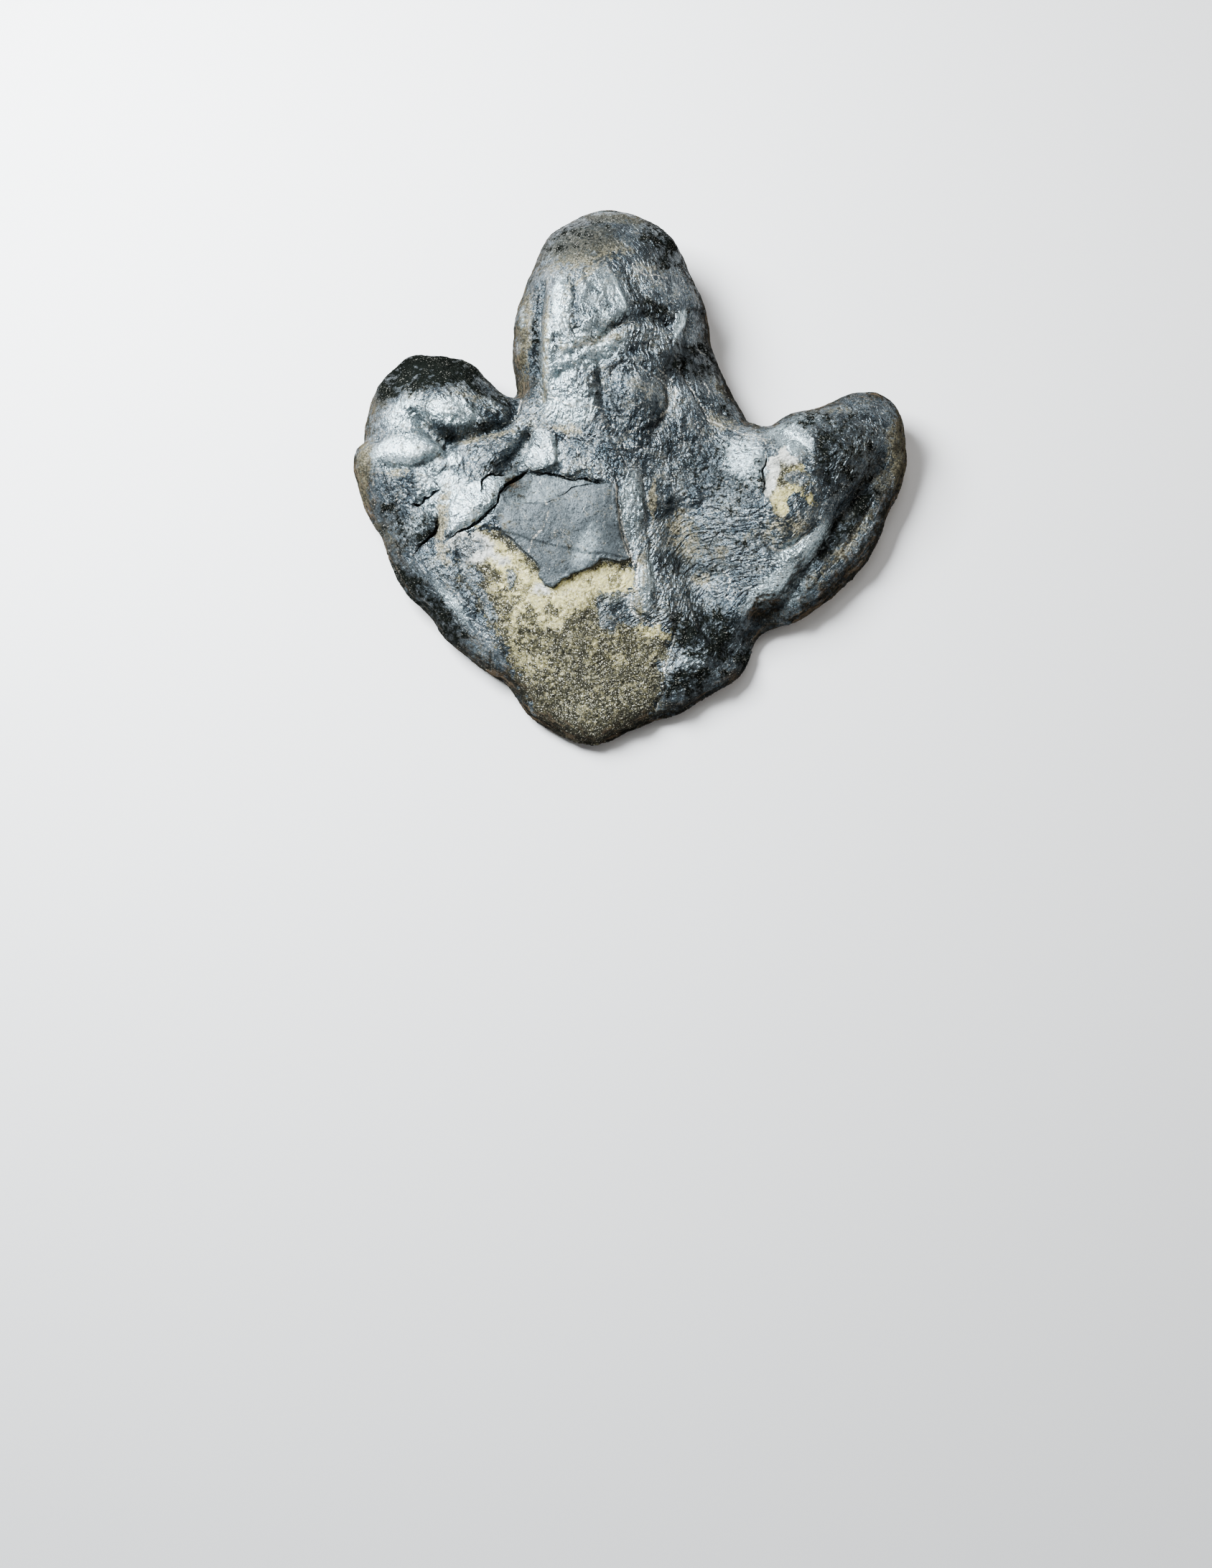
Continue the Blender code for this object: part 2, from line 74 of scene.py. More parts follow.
# Cracks: points, half width, depth; each tapers towards its ends
MAIN_CRACK = [
    (-0.148, -0.029), (-0.154, -0.035), (-0.160, -0.043), (-0.163, -0.055), (-0.177, -0.068),
    (-0.187, -0.077), (-0.199, -0.083), (-0.210, -0.087), (-0.220, -0.093)]
RIGHT_BRANCH = [
    (-0.130, -0.013), (-0.122, -0.017), (-0.103, -0.015), (-0.094, -0.017), (-0.086, -0.021),
    (-0.072, -0.023), (-0.059, -0.022), (-0.045, -0.027), (-0.033, -0.029)]
CRACKS = {
    "main crack, open end": (
        [(-0.128, -0.010), (-0.134, -0.017), (-0.142, -0.024), (-0.150, -0.030),
         (-0.156, -0.037)], 0.0014, 0.0090),
    "main crack": (MAIN_CRACK, 0.0010, 0.0075),
    "right branch": (RIGHT_BRANCH, 0.0008, 0.0045),
    "return hairline": (
        [(-0.036, -0.029), (-0.053, -0.031), (-0.073, -0.033), (-0.080, -0.040),
         (-0.090, -0.046)], 0.0006, 0.0022),
    "faint hairline": (
        [(-0.090, -0.050), (-0.103, -0.053), (-0.122, -0.053), (-0.138, -0.049)], 0.0005, 0.0012),
    "under the fold": (
        [(-0.181, -0.042), (-0.180, -0.024), (-0.172, -0.018), (-0.160, -0.016),
         (-0.144, -0.013)], 0.0011, 0.0055),
    "left gap": (
        [(-0.232, -0.035), (-0.240, -0.036), (-0.243, -0.041), (-0.251, -0.042), (-0.257, -0.049),
         (-0.266, -0.050)], 0.0009, 0.0050),
    "left ledge": (
        [(-0.238, -0.062), (-0.237, -0.074), (-0.240, -0.086), (-0.250, -0.094),
         (-0.260, -0.101), (-0.270, -0.112)], 0.0011, 0.0055),
    "pad crack": (
        [(0.163, 0.006), (0.161, -0.006), (0.157, -0.015), (0.160, -0.027), (0.158, -0.041)],
        0.0008, 0.0030),
    "pad crack, low": (
        [(0.156, -0.076), (0.164, -0.083), (0.174, -0.084)], 0.0005, 0.0012),
    "left of the pad": (
        [(0.120, -0.088), (0.108, -0.080), (0.099, -0.087), (0.093, -0.100)], 0.0005, 0.0010),
    "toe root, above the pad": (
        [(0.192, 0.050), (0.184, 0.044), (0.176, 0.040)], 0.0010, 0.0028),
    "flake nick": ([(-0.047, 0.147), (-0.049, 0.140), (-0.040, 0.137)], 0.0005, 0.0010),
}
CRACK_REACH = 4.0          # half widths over which the crack map fades
CRACK_TAPER = 0.22         # share of the length over which an end closes
CRACK_POINT = 0.6          # power of that taper
CRACK_LEAST = 0.15         # share of the half width that is left at the very end
CRACK_LIP = 1.4            # half widths from the middle to where the ground is untouched
CRACK_FLANK = 0.8          # power of the wall's slope

# Creases: points, half width, depth, power (1.2 is a sharp valley, 2 a round one)
CREASES = {
    "fold, upper arm": (
        [(-0.268, 0.060), (-0.252, 0.044), (-0.243, 0.034), (-0.226, 0.021)], 0.0042, 0.0045, 1.3),
    "fold, lower arm": (
        [(-0.226, 0.021), (-0.205, 0.031), (-0.174, 0.040), (-0.152, 0.050), (-0.141, 0.072)],
        0.0038, 0.0042, 1.3),
    "under the tan band": (
        [(-0.208, 0.012), (-0.190, 0.022), (-0.165, 0.026), (-0.145, 0.035)], 0.0034, 0.0022, 1.4),
    "hollow, deep side": (
        [(-0.127, 0.034), (-0.128, 0.018), (-0.134, 0.002), (-0.131, -0.006)],
        0.0030, 0.0026, 1.3),
    "hollow, long side": (
        [(-0.127, 0.034), (-0.140, 0.016), (-0.152, 0.004), (-0.163, -0.008)],
        0.0026, 0.0018, 1.3),
    "below the left pad": (
        [(-0.298, -0.004), (-0.283, -0.010), (-0.262, -0.010), (-0.243, -0.002), (-0.226, 0.012)],
        0.0034, 0.0030, 1.3),
    "blue facet, left": (
        [(-0.226, 0.014), (-0.224, 0.002), (-0.216, -0.010)], 0.0026, 0.0018, 1.3),
    "blue facet, right": (
        [(-0.212, 0.016), (-0.206, 0.006), (-0.204, -0.002)], 0.0026, 0.0018, 1.3),
    "flow line one": (
        [(-0.238, -0.002), (-0.250, -0.010), (-0.255, -0.022), (-0.248, -0.036)],
        0.0022, 0.0014, 1.4),
    "flow line two": (
        [(-0.232, -0.006), (-0.243, -0.013), (-0.247, -0.023), (-0.240, -0.035)],
        0.0020, 0.0012, 1.4),
    "flow line three": (
        [(-0.227, -0.011), (-0.236, -0.016), (-0.239, -0.024), (-0.233, -0.033)],
        0.0020, 0.0012, 1.4),
    "beside the ridge": (
        [(-0.110, 0.214), (-0.113, 0.179), (-0.117, 0.142), (-0.117, 0.112), (-0.110, 0.076)],
        0.0046, 0.0040, 1.5),
    "left of the border": (
        [(-0.128, 0.196), (-0.131, 0.160), (-0.130, 0.130), (-0.127, 0.100)], 0.0034, 0.0020, 1.5),
    "ridge, right side": (
        [(-0.099, 0.215), (-0.097, 0.180), (-0.093, 0.150), (-0.094, 0.120), (-0.089, 0.095)],
        0.0026, 0.0016, 1.4),
    "brow, inner": (
        [(-0.072, 0.214), (-0.068, 0.190), (-0.072, 0.168), (-0.066, 0.150)], 0.0028, 0.0016, 1.4),
    "wrinkle one": (
        [(-0.098, 0.132), (-0.086, 0.138), (-0.070, 0.124), (-0.056, 0.128), (-0.036, 0.136),
         (-0.024, 0.150), (-0.012, 0.161), (0.018, 0.172), (0.045, 0.170)], 0.0030, 0.0019, 1.3),
    "wrinkle two": (
        [(-0.094, 0.096), (-0.076, 0.104), (-0.060, 0.102), (-0.038, 0.114), (-0.008, 0.124),
         (0.023, 0.134)], 0.0030, 0.0022, 1.3),
    "wrinkle three": (
        [(-0.080, 0.118), (-0.060, 0.112), (-0.040, 0.126), (-0.020, 0.128), (0.004, 0.142)],
        0.0024, 0.0016, 1.3),
    "wrinkle four": (
        [(-0.070, 0.146), (-0.056, 0.142), (-0.044, 0.146), (-0.030, 0.142), (-0.012, 0.150)],
        0.0022, 0.0016, 1.3),
    "wrinkle on the shoulder": (
        [(0.004, 0.214), (0.012, 0.200), (0.026, 0.190), (0.044, 0.188)], 0.0032, 0.0022, 1.4),
    "right of the flake": (
        [(-0.006, 0.238), (-0.001, 0.216), (0.006, 0.196), (0.004, 0.182)], 0.0030, 0.0018, 1.3),
    "left of the knob": (
        [(-0.020, 0.108), (-0.028, 0.094), (-0.031, 0.078), (-0.026, 0.062), (-0.016, 0.046)],
        0.0036, 0.0038, 1.3),
    "round the knob": (
        [(-0.024, 0.104), (-0.006, 0.112), (0.018, 0.112), (0.036, 0.100), (0.045, 0.082),
         (0.044, 0.062), (0.034, 0.044), (0.014, 0.034)], 0.0028, 0.0028, 1.3),
    "knob ring": (
        [(0.028, 0.096), (0.035, 0.080), (0.034, 0.062), (0.024, 0.050)], 0.0020, 0.0015, 1.3),
    "knob, inner ring": (
        [(-0.008, 0.098), (-0.014, 0.084), (-0.014, 0.068), (-0.006, 0.056)], 0.0020, 0.0014, 1.3),
    "knob, top ring": ([(0.000, 0.100), (0.012, 0.102), (0.024, 0.096)], 0.0020, 0.0012, 1.3),
    "foot of the flank step": (
        [(0.072, 0.196), (0.068, 0.168), (0.066, 0.148), (0.064, 0.112), (0.078, 0.088),
         (0.098, 0.056)], 0.0036, 0.0030, 1.2),
    "left of the strip": (
        [(-0.019, -0.022), (-0.017, -0.060), (-0.013, -0.095), (-0.001, -0.117)],
        0.0018, 0.0013, 1.4),
    "right of the strip": (
        [(0.014, -0.020), (0.019, -0.050), (0.021, -0.090), (0.026, -0.130), (0.034, -0.176)],
        0.0030, 0.0026, 1.4),
    "strip end": ([(0.000, -0.178), (0.014, -0.186), (0.032, -0.190)], 0.0026, 0.0022, 1.3),
    "heel crease": (
        [(0.055, -0.204), (0.048, -0.222), (0.040, -0.245), (0.038, -0.270), (0.031, -0.292)],
        0.0026, 0.0024, 1.2),
    "beside the heel crease": (
        [(0.070, -0.182), (0.066, -0.206), (0.056, -0.232)], 0.0034, 0.0024, 1.4),
    "furrow, inner": (
        [(0.306, 0.004), (0.281, -0.030), (0.252, -0.068), (0.241, -0.094), (0.218, -0.118),
         (0.198, -0.147), (0.180, -0.171)], 0.0036, 0.0032, 1.3),
    "furrow, outer": (
        [(0.322, 0.012), (0.300, -0.034), (0.274, -0.072), (0.258, -0.102), (0.234, -0.130),
         (0.212, -0.158)], 0.0030, 0.0024, 1.3),
    "crescent below the pad": (
        [(0.164, -0.094), (0.171, -0.105), (0.183, -0.107), (0.198, -0.100), (0.219, -0.080)],
        0.0028, 0.0020, 1.3),
    "heel lobe fold": (
        [(0.083, -0.196), (0.098, -0.214), (0.118, -0.224), (0.140, -0.226)], 0.0040, 0.0030, 1.4),
    "toe root overlap": (
        [(0.112, 0.072), (0.130, 0.060), (0.150, 0.054), (0.176, 0.060)], 0.0030, 0.0022, 1.3),
    "pinch at the knob's foot": (
        [(-0.026, 0.026), (-0.016, 0.012), (0.000, 0.006), (0.010, 0.012)], 0.0030, 0.0020, 1.3),
}

# Outlines of the skin plate, which ends at the cracks, and of the two bare places
SKIN_PLATE = [
    (-0.155, -0.087), (-0.140, -0.103), (-0.127, -0.115), (-0.117, -0.124), (-0.111, -0.133),
    (-0.115, -0.140), (-0.112, -0.146), (-0.107, -0.151), (-0.095, -0.156), (-0.086, -0.150),
    (-0.072, -0.140), (-0.058, -0.134), (-0.046, -0.129), (-0.038, -0.120), (-0.024, -0.121),
    (-0.015, -0.123), (-0.002, -0.117), (-0.012, -0.094), (-0.014, -0.080), (-0.017, -0.059),
    (-0.019, -0.030), *reversed(RIGHT_BRANCH),
    (-0.142, -0.024), (-0.150, -0.030), (-0.160, -0.043), (-0.163, -0.055), (-0.166, -0.066)]
BARE_HEEL = [
    (-0.214, -0.094), (-0.197, -0.086), (-0.180, -0.082), (-0.155, -0.086), (-0.120, -0.100),
    (-0.060, -0.112), (-0.002, -0.117), (0.004, -0.124), (0.002, -0.153), (-0.001, -0.176),
    (0.018, -0.190), (0.034, -0.192), (0.055, -0.202), (0.054, -0.208), (0.044, -0.226),
    (0.036, -0.240), (0.040, -0.270), (0.031, -0.291), (0.028, -0.325), (-0.034, -0.350),
    (-0.080, -0.345), (-0.116, -0.312), (-0.136, -0.272), (-0.150, -0.240), (-0.168, -0.202),
    (-0.184, -0.174), (-0.200, -0.148), (-0.212, -0.122)]
PALE_FLAKE = [
    (0.166, 0.007), (0.163, -0.004), (0.163, -0.015), (0.161, -0.025), (0.160, -0.041),
    (0.163, -0.045), (0.170, -0.052), (0.174, -0.058), (0.174, -0.065), (0.177, -0.070),
    (0.191, -0.066), (0.191, -0.058), (0.187, -0.050), (0.189, -0.046), (0.197, -0.043),
    (0.203, -0.042), (0.208, -0.049), (0.216, -0.055), (0.224, -0.050), (0.218, -0.043),
    (0.212, -0.041), (0.211, -0.034), (0.218, -0.027), (0.214, -0.019), (0.210, -0.011),
    (0.206, -0.007), (0.200, -0.001), (0.190, 0.008), (0.188, 0.019), (0.191, 0.032),
    (0.186, 0.019), (0.178, 0.015), (0.180, 0.005), (0.171, 0.003)]

# Plates and flakes: outline, height of the step (below zero where the skin is gone), edge width
STEPS = {
    "skin plate": (SKIN_PLATE, 0.0022, 0.0011),
    "bare heel": (BARE_HEEL, -0.0016, 0.0016),
    "pale flake": (PALE_FLAKE, -0.0016, 0.0012),
    "flake on the middle toe": (
        [(-0.065, 0.196), (-0.061, 0.207), (-0.048, 0.223), (-0.030, 0.236), (-0.021, 0.216),
         (-0.011, 0.198), (-0.006, 0.181), (-0.006, 0.170), (-0.015, 0.160), (-0.030, 0.150),
         (-0.042, 0.138), (-0.053, 0.127), (-0.062, 0.130), (-0.062, 0.150), (-0.064, 0.170)],
        0.0013, 0.0016),
    "blade of the flank": (
        [(0.070, 0.197), (0.067, 0.185), (0.061, 0.171), (0.057, 0.151), (0.052, 0.150),
         (0.050, 0.170), (0.053, 0.185)], 0.0014, 0.0014),
    "slab left of the crack": (
        [(-0.131, -0.013), (-0.152, -0.033), *MAIN_CRACK[2:7], (-0.217, -0.091),
         (-0.222, -0.062), (-0.204, -0.034), (-0.176, -0.020)], 0.0010, 0.0014),
    "slab right of the crack": (
        [(-0.129, -0.012), (-0.103, -0.015), (-0.086, -0.021), (-0.059, -0.022),
         (-0.033, -0.029), (-0.073, -0.033), (-0.104, -0.053), (-0.150, -0.056),
         (-0.158, -0.042)], -0.0014, 0.0012),
    "overlap above the hollow": (
        [(-0.124, 0.038), (-0.108, 0.044), (-0.092, 0.030), (-0.092, -0.006), (-0.121, -0.012),
         (-0.131, -0.004), (-0.126, 0.014)], 0.0018, 0.0014),
    "left flank chip": (
        [(-0.268, -0.062), (-0.252, -0.058), (-0.240, -0.066), (-0.238, -0.078),
         (-0.246, -0.092), (-0.262, -0.098), (-0.276, -0.086)], 0.0022, 0.0014),
    "bare flank of the middle toe": (
        [(0.071, 0.200), (0.067, 0.168), (0.064, 0.148), (0.061, 0.112), (0.075, 0.088),
         (0.096, 0.054), (0.150, 0.050), (0.140, 0.110), (0.105, 0.210)], -0.0016, 0.0012),
    "heel lobe": (
        [(0.055, -0.204), (0.040, -0.245), (0.040, -0.270), (0.031, -0.292), (0.090, -0.290),
         (0.160, -0.230), (0.110, -0.190), (0.080, -0.176)], 0.0016, 0.0014),
    "lens of the left pad": (
        [(-0.312, 0.016), (-0.309, 0.026), (-0.291, 0.033), (-0.270, 0.034), (-0.249, 0.029),
         (-0.226, 0.018), (-0.238, 0.006), (-0.251, 0.000), (-0.272, -0.005), (-0.296, -0.004),
         (-0.310, 0.006)], 0.0005, 0.0026),
    "outer pad": (
        [(0.160, -0.078), (0.164, -0.094), (0.171, -0.105), (0.183, -0.107), (0.198, -0.100),
         (0.221, -0.078), (0.230, -0.040), (0.222, -0.024), (0.190, -0.030), (0.166, -0.044)],
        0.0010, 0.0016),
}

# Hairline veins of pale mineral
VEINS = {
    "flank": [(0.058, 0.116), (0.062, 0.110), (0.068, 0.104), (0.075, 0.096), (0.084, 0.080),
              (0.092, 0.066), (0.097, 0.057), (0.112, 0.052)],
    "across the plate": [(-0.103, -0.050), (-0.100, -0.063), (-0.103, -0.075), (-0.111, -0.088),
                         (-0.118, -0.098), (-0.124, -0.112)],
    "plate, right": [(-0.019, -0.028), (-0.018, -0.045), (-0.016, -0.062), (-0.014, -0.080),
                     (-0.011, -0.095), (-0.006, -0.108), (-0.001, -0.117), (0.010, -0.124)],
    "plate, inner right": [(-0.014, -0.060), (-0.010, -0.080), (-0.006, -0.100), (0.002, -0.114)],
    "heel": [(0.055, -0.202), (0.049, -0.219), (0.041, -0.240), (0.038, -0.262), (0.036, -0.276),
             (0.030, -0.295)],
    "left of the knob": [(-0.096, 0.074), (-0.078, 0.066), (-0.056, 0.061), (-0.034, 0.060)],
    "round the knob": [(0.014, 0.108), (0.030, 0.104), (0.042, 0.096), (0.048, 0.084),
                       (0.046, 0.068), (0.036, 0.054)],
    "knob's right": [(0.034, 0.112), (0.048, 0.104), (0.054, 0.090), (0.052, 0.070)],
    "shoulder": [(0.002, 0.238), (0.010, 0.230), (0.020, 0.226), (0.034, 0.229), (0.044, 0.231)],
    "toe root": [(0.104, 0.054), (0.120, 0.046), (0.134, 0.040), (0.150, 0.036), (0.160, 0.030),
                 (0.164, 0.018), (0.162, 0.004)],
    "strip end": [(-0.001, -0.178), (0.009, -0.185), (0.022, -0.191), (0.036, -0.194)],
    "left of the strip": [(0.002, -0.120), (0.003, -0.136), (0.002, -0.150), (0.000, -0.176)],
    "strip, inner": [(0.008, -0.110), (0.008, -0.130), (0.006, -0.154), (0.006, -0.176)],
    "middle wrinkle": [(-0.074, 0.126), (-0.060, 0.130), (-0.044, 0.134), (-0.032, 0.140),
                       (-0.020, 0.152), (-0.010, 0.160), (0.004, 0.164)],
    "over the fold": [(-0.158, 0.052), (-0.148, 0.058), (-0.138, 0.070), (-0.134, 0.088)],
    "flank cross": [(0.070, 0.150), (0.082, 0.150), (0.094, 0.146)],
    "flank twig": [(0.088, 0.112), (0.092, 0.106), (0.096, 0.098), (0.094, 0.090)],
    "slab": [(-0.204, -0.086), (-0.196, -0.094), (-0.184, -0.098)],
    "crescent": [(0.158, -0.094), (0.167, -0.104), (0.180, -0.107), (0.194, -0.104),
                 (0.205, -0.096), (0.217, -0.080)],
    "valley": [(0.070, -0.160), (0.074, -0.180), (0.082, -0.196)],
    "valley, far": [(0.112, -0.128), (0.120, -0.140), (0.118, -0.152)],
}

# Soft ovals, in the tables below: x, y, reach along, reach across, turn in degrees, strength
OVAL_EDGE = (0.45, 1.35)   # shares of the reach between which an oval fades

# Black crust, and painted shade in creases, valleys and hollows and on the steep sides
DARK_AND_SHADED_PARTS = {
    "left toe tip": (-0.248, 0.122, 0.082, 0.038, -5, 1.15),
    "left toe, far corner": (-0.290, 0.106, 0.036, 0.028, 40, 1.00),
    "left toe, right": (-0.198, 0.106, 0.036, 0.016, -35, 0.95),
    "left toe, notch": (-0.160, 0.084, 0.020, 0.010, -35, 0.80),
    "middle toe, tip": (-0.062, 0.278, 0.070, 0.036, 12, 0.58),
    "knob": (0.006, 0.070, 0.030, 0.026, 60, 0.26),
    "plate, low": (-0.106, -0.112, 0.050, 0.036, 20, 0.22),
    "middle toe, right": (0.036, 0.276, 0.036, 0.044, 0, 0.80),
    "middle toe, left": (-0.124, 0.290, 0.010, 0.030, 65, 0.60),
    "beside the flake": (0.026, 0.184, 0.030, 0.014, -12, 0.80),
    "valley beside the flake": (0.000, 0.212, 0.030, 0.008, -62, 0.55),
    "right flank": (0.088, 0.139, 0.030, 0.076, -65, 0.80),
    "right flank, foot": (0.116, 0.076, 0.020, 0.027, -45, 0.60),
    "heel lobe": (0.092, -0.207, 0.046, 0.056, 60, 0.90),
    "valley": (0.066, -0.119, 0.016, 0.054, 85, 0.60),
    "heel, right wall": (0.074, -0.262, 0.054, 0.026, 20, 0.80),
    "between valley and pad": (0.120, -0.096, 0.064, 0.044, -55, 0.46),
    "right of the flake, upper": (0.236, 0.012, 0.058, 0.020, 95, 0.80),
    "outer toe": (0.264, 0.016, 0.060, 0.066, 0, 0.66),
    "outer toe, root": (0.222, 0.058, 0.036, 0.016, 15, 0.70),
    "furrow": (0.262, -0.066, 0.090, 0.014, 52, 0.88),
    "left lobe": (-0.293, -0.072, 0.028, 0.046, 0, 0.60),
    "right shoulder": (0.112, -0.014, 0.050, 0.060, 60, 0.60),
    "left shoulder": (-0.250, -0.130, 0.040, 0.018, -55, 0.35),
    "left lobe, low": (-0.258, -0.083, 0.018, 0.028, -60, 0.75),
    "hollow": (-0.140, 0.008, 0.011, 0.026, -42, 0.62),
    "left of the knob": (-0.032, 0.072, 0.009, 0.034, 88, 0.55),
    "fold": (-0.226, 0.038, 0.024, 0.009, -42, 0.75),
    "fold, right": (-0.180, 0.048, 0.024, 0.006, 15, 0.60),
    "under the fold": (-0.172, -0.006, 0.016, 0.008, 15, 0.70),
    "heel, right corner": (0.141, -0.230, 0.020, 0.030, 0, 0.90),
    "left wall": (-0.258, -0.166, 0.100, 0.028, -48, 0.98),
    "border groove": (-0.116, 0.145, 0.055, 0.006, 88, 0.60),
    "left of the bare heel": (-0.196, -0.165, 0.034, 0.012, -60, 0.50),
}

# Burnished parts, with a painted highlight: silver colour where the highlights fall
POLISH_AND_HIGHLIGHT = {
    "left pad": (-0.270, 0.012, 0.052, 0.024, 2, 0.66),
    "left glossy": (-0.217, 0.060, 0.036, 0.018, -10, 0.85),
    "left glossy, far": (-0.272, 0.058, 0.030, 0.024, 20, 0.60),
    "blue facet": (-0.216, 0.003, 0.010, 0.011, 0, 0.90),
    "silver slab": (-0.192, -0.058, 0.040, 0.026, 40, 0.66),
    "slab's neighbour": (-0.228, -0.036, 0.034, 0.030, 30, 0.62),
    "flow lines": (-0.243, -0.020, 0.020, 0.018, 0, 0.60),
    "flank chip": (-0.256, -0.074, 0.014, 0.010, 0, 0.55),
    "brow": (-0.084, 0.178, 0.042, 0.012, 88, 1.00),
    "ridge": (-0.101, 0.124, 0.045, 0.007, 88, 0.80),
    "toe left half": (-0.086, 0.100, 0.030, 0.022, 88, 0.70),
    "flake's bright side": (-0.013, 0.194, 0.028, 0.004, -68, 1.00),
    "wrinkled band": (-0.050, 0.128, 0.048, 0.022, 15, 0.75),
    "below the band": (-0.076, 0.066, 0.034, 0.026, 0, 0.70),
    "above the crack": (-0.110, 0.008, 0.030, 0.022, 0, 0.55),
    "right shoulder": (0.140, 0.000, 0.040, 0.028, -42, 0.56),
    "pad's head": (0.198, 0.022, 0.024, 0.020, 0, 0.80),
    "toe root, outer": (0.214, 0.060, 0.022, 0.012, 10, 0.60),
    "blue band": (0.170, -0.148, 0.046, 0.013, 42, 0.80),
    "blue band, far": (0.226, -0.096, 0.034, 0.011, 55, 0.80),
    "above the pale flake": (0.190, 0.044, 0.028, 0.012, 20, 0.70),
    "crescent": (0.200, -0.104, 0.040, 0.010, 35, 0.80),
    "lower right pad": (0.187, -0.150, 0.050, 0.026, 38, 0.40),
    "blue shoulder": (-0.236, -0.124, 0.026, 0.012, -60, 0.20),
    "shoulder, low": (-0.218, -0.168, 0.034, 0.007, -50, 0.60),
    "flank step": (0.061, 0.174, 0.026, 0.0032, 70, 1.00),
    "below the ridge": (-0.072, 0.062, 0.030, 0.020, 0, 0.80),
    "middle flake": (-0.034, 0.186, 0.034, 0.040, 0, 0.30),
    "heel lobe glint": (0.070, -0.236, 0.018, 0.014, 20, 0.50),
    "left border": (-0.134, 0.180, 0.022, 0.004, 85, 0.60),
    "right of the plate": (0.000, -0.055, 0.050, 0.016, 88, 0.50),
    "plate, streaks": (-0.056, -0.108, 0.034, 0.014, 70, 0.42),
    "strip": (0.018, -0.140, 0.040, 0.012, 86, 0.60),
}

# Plates that are burnished as a whole and get a painted highlight: strength
POLISHED_PLATES_WITH_HIGHLIGHT = {
    "flake on the middle toe": 0.46, "slab left of the crack": 0.62,
    "slab right of the crack": 0.22, "lens of the left pad": 0.74,
    "overlap above the hollow": 0.45, "left flank chip": 0.30, "blade of the flank": 0.60,
}
PLATE_SHINE = (-0.001, 0.004)   # distances inside an edge between which a plate's shine grows

# Earth left in the skin
WARM = {
    "middle toe tip": (-0.060, 0.262, 0.056, 0.036, 12, 0.95),
    "middle toe crown": (-0.020, 0.308, 0.050, 0.014, 0, 0.80),
    "middle toe border": (-0.132, 0.165, 0.075, 0.009, 88, 0.65),
    "ridge": (-0.104, 0.140, 0.070, 0.004, 88, 0.60),
    "left edge": (-0.328, -0.006, 0.056, 0.010, 86, 0.95),
    "left lobe rim": (-0.302, -0.076, 0.028, 0.009, -50, 0.70),
    "left toe rim": (-0.200, 0.130, 0.034, 0.010, -30, 0.85),
    "left toe, far": (-0.308, 0.088, 0.024, 0.018, 55, 0.75),
    "outer rim": (0.330, 0.026, 0.052, 0.012, 88, 0.95),
    "tan streak": (0.027, -0.042, 0.026, 0.004, 88, 0.90),
    "strip": (0.014, -0.118, 0.020, 0.006, 88, 0.60),
    "tan band": (-0.176, 0.033, 0.036, 0.006, 12, 0.70),
    "left ledge": (-0.231, -0.070, 0.034, 0.008, 82, 0.75),
    "flange": (0.262, -0.082, 0.080, 0.012, 52, 0.50),
    "pad middle": (0.190, -0.078, 0.026, 0.016, 0, 0.35),
    "valley head": (0.066, -0.084, 0.044, 0.024, -70, 0.60),
    "right of the valley": (0.104, -0.110, 0.040, 0.020, -60, 0.45),
}

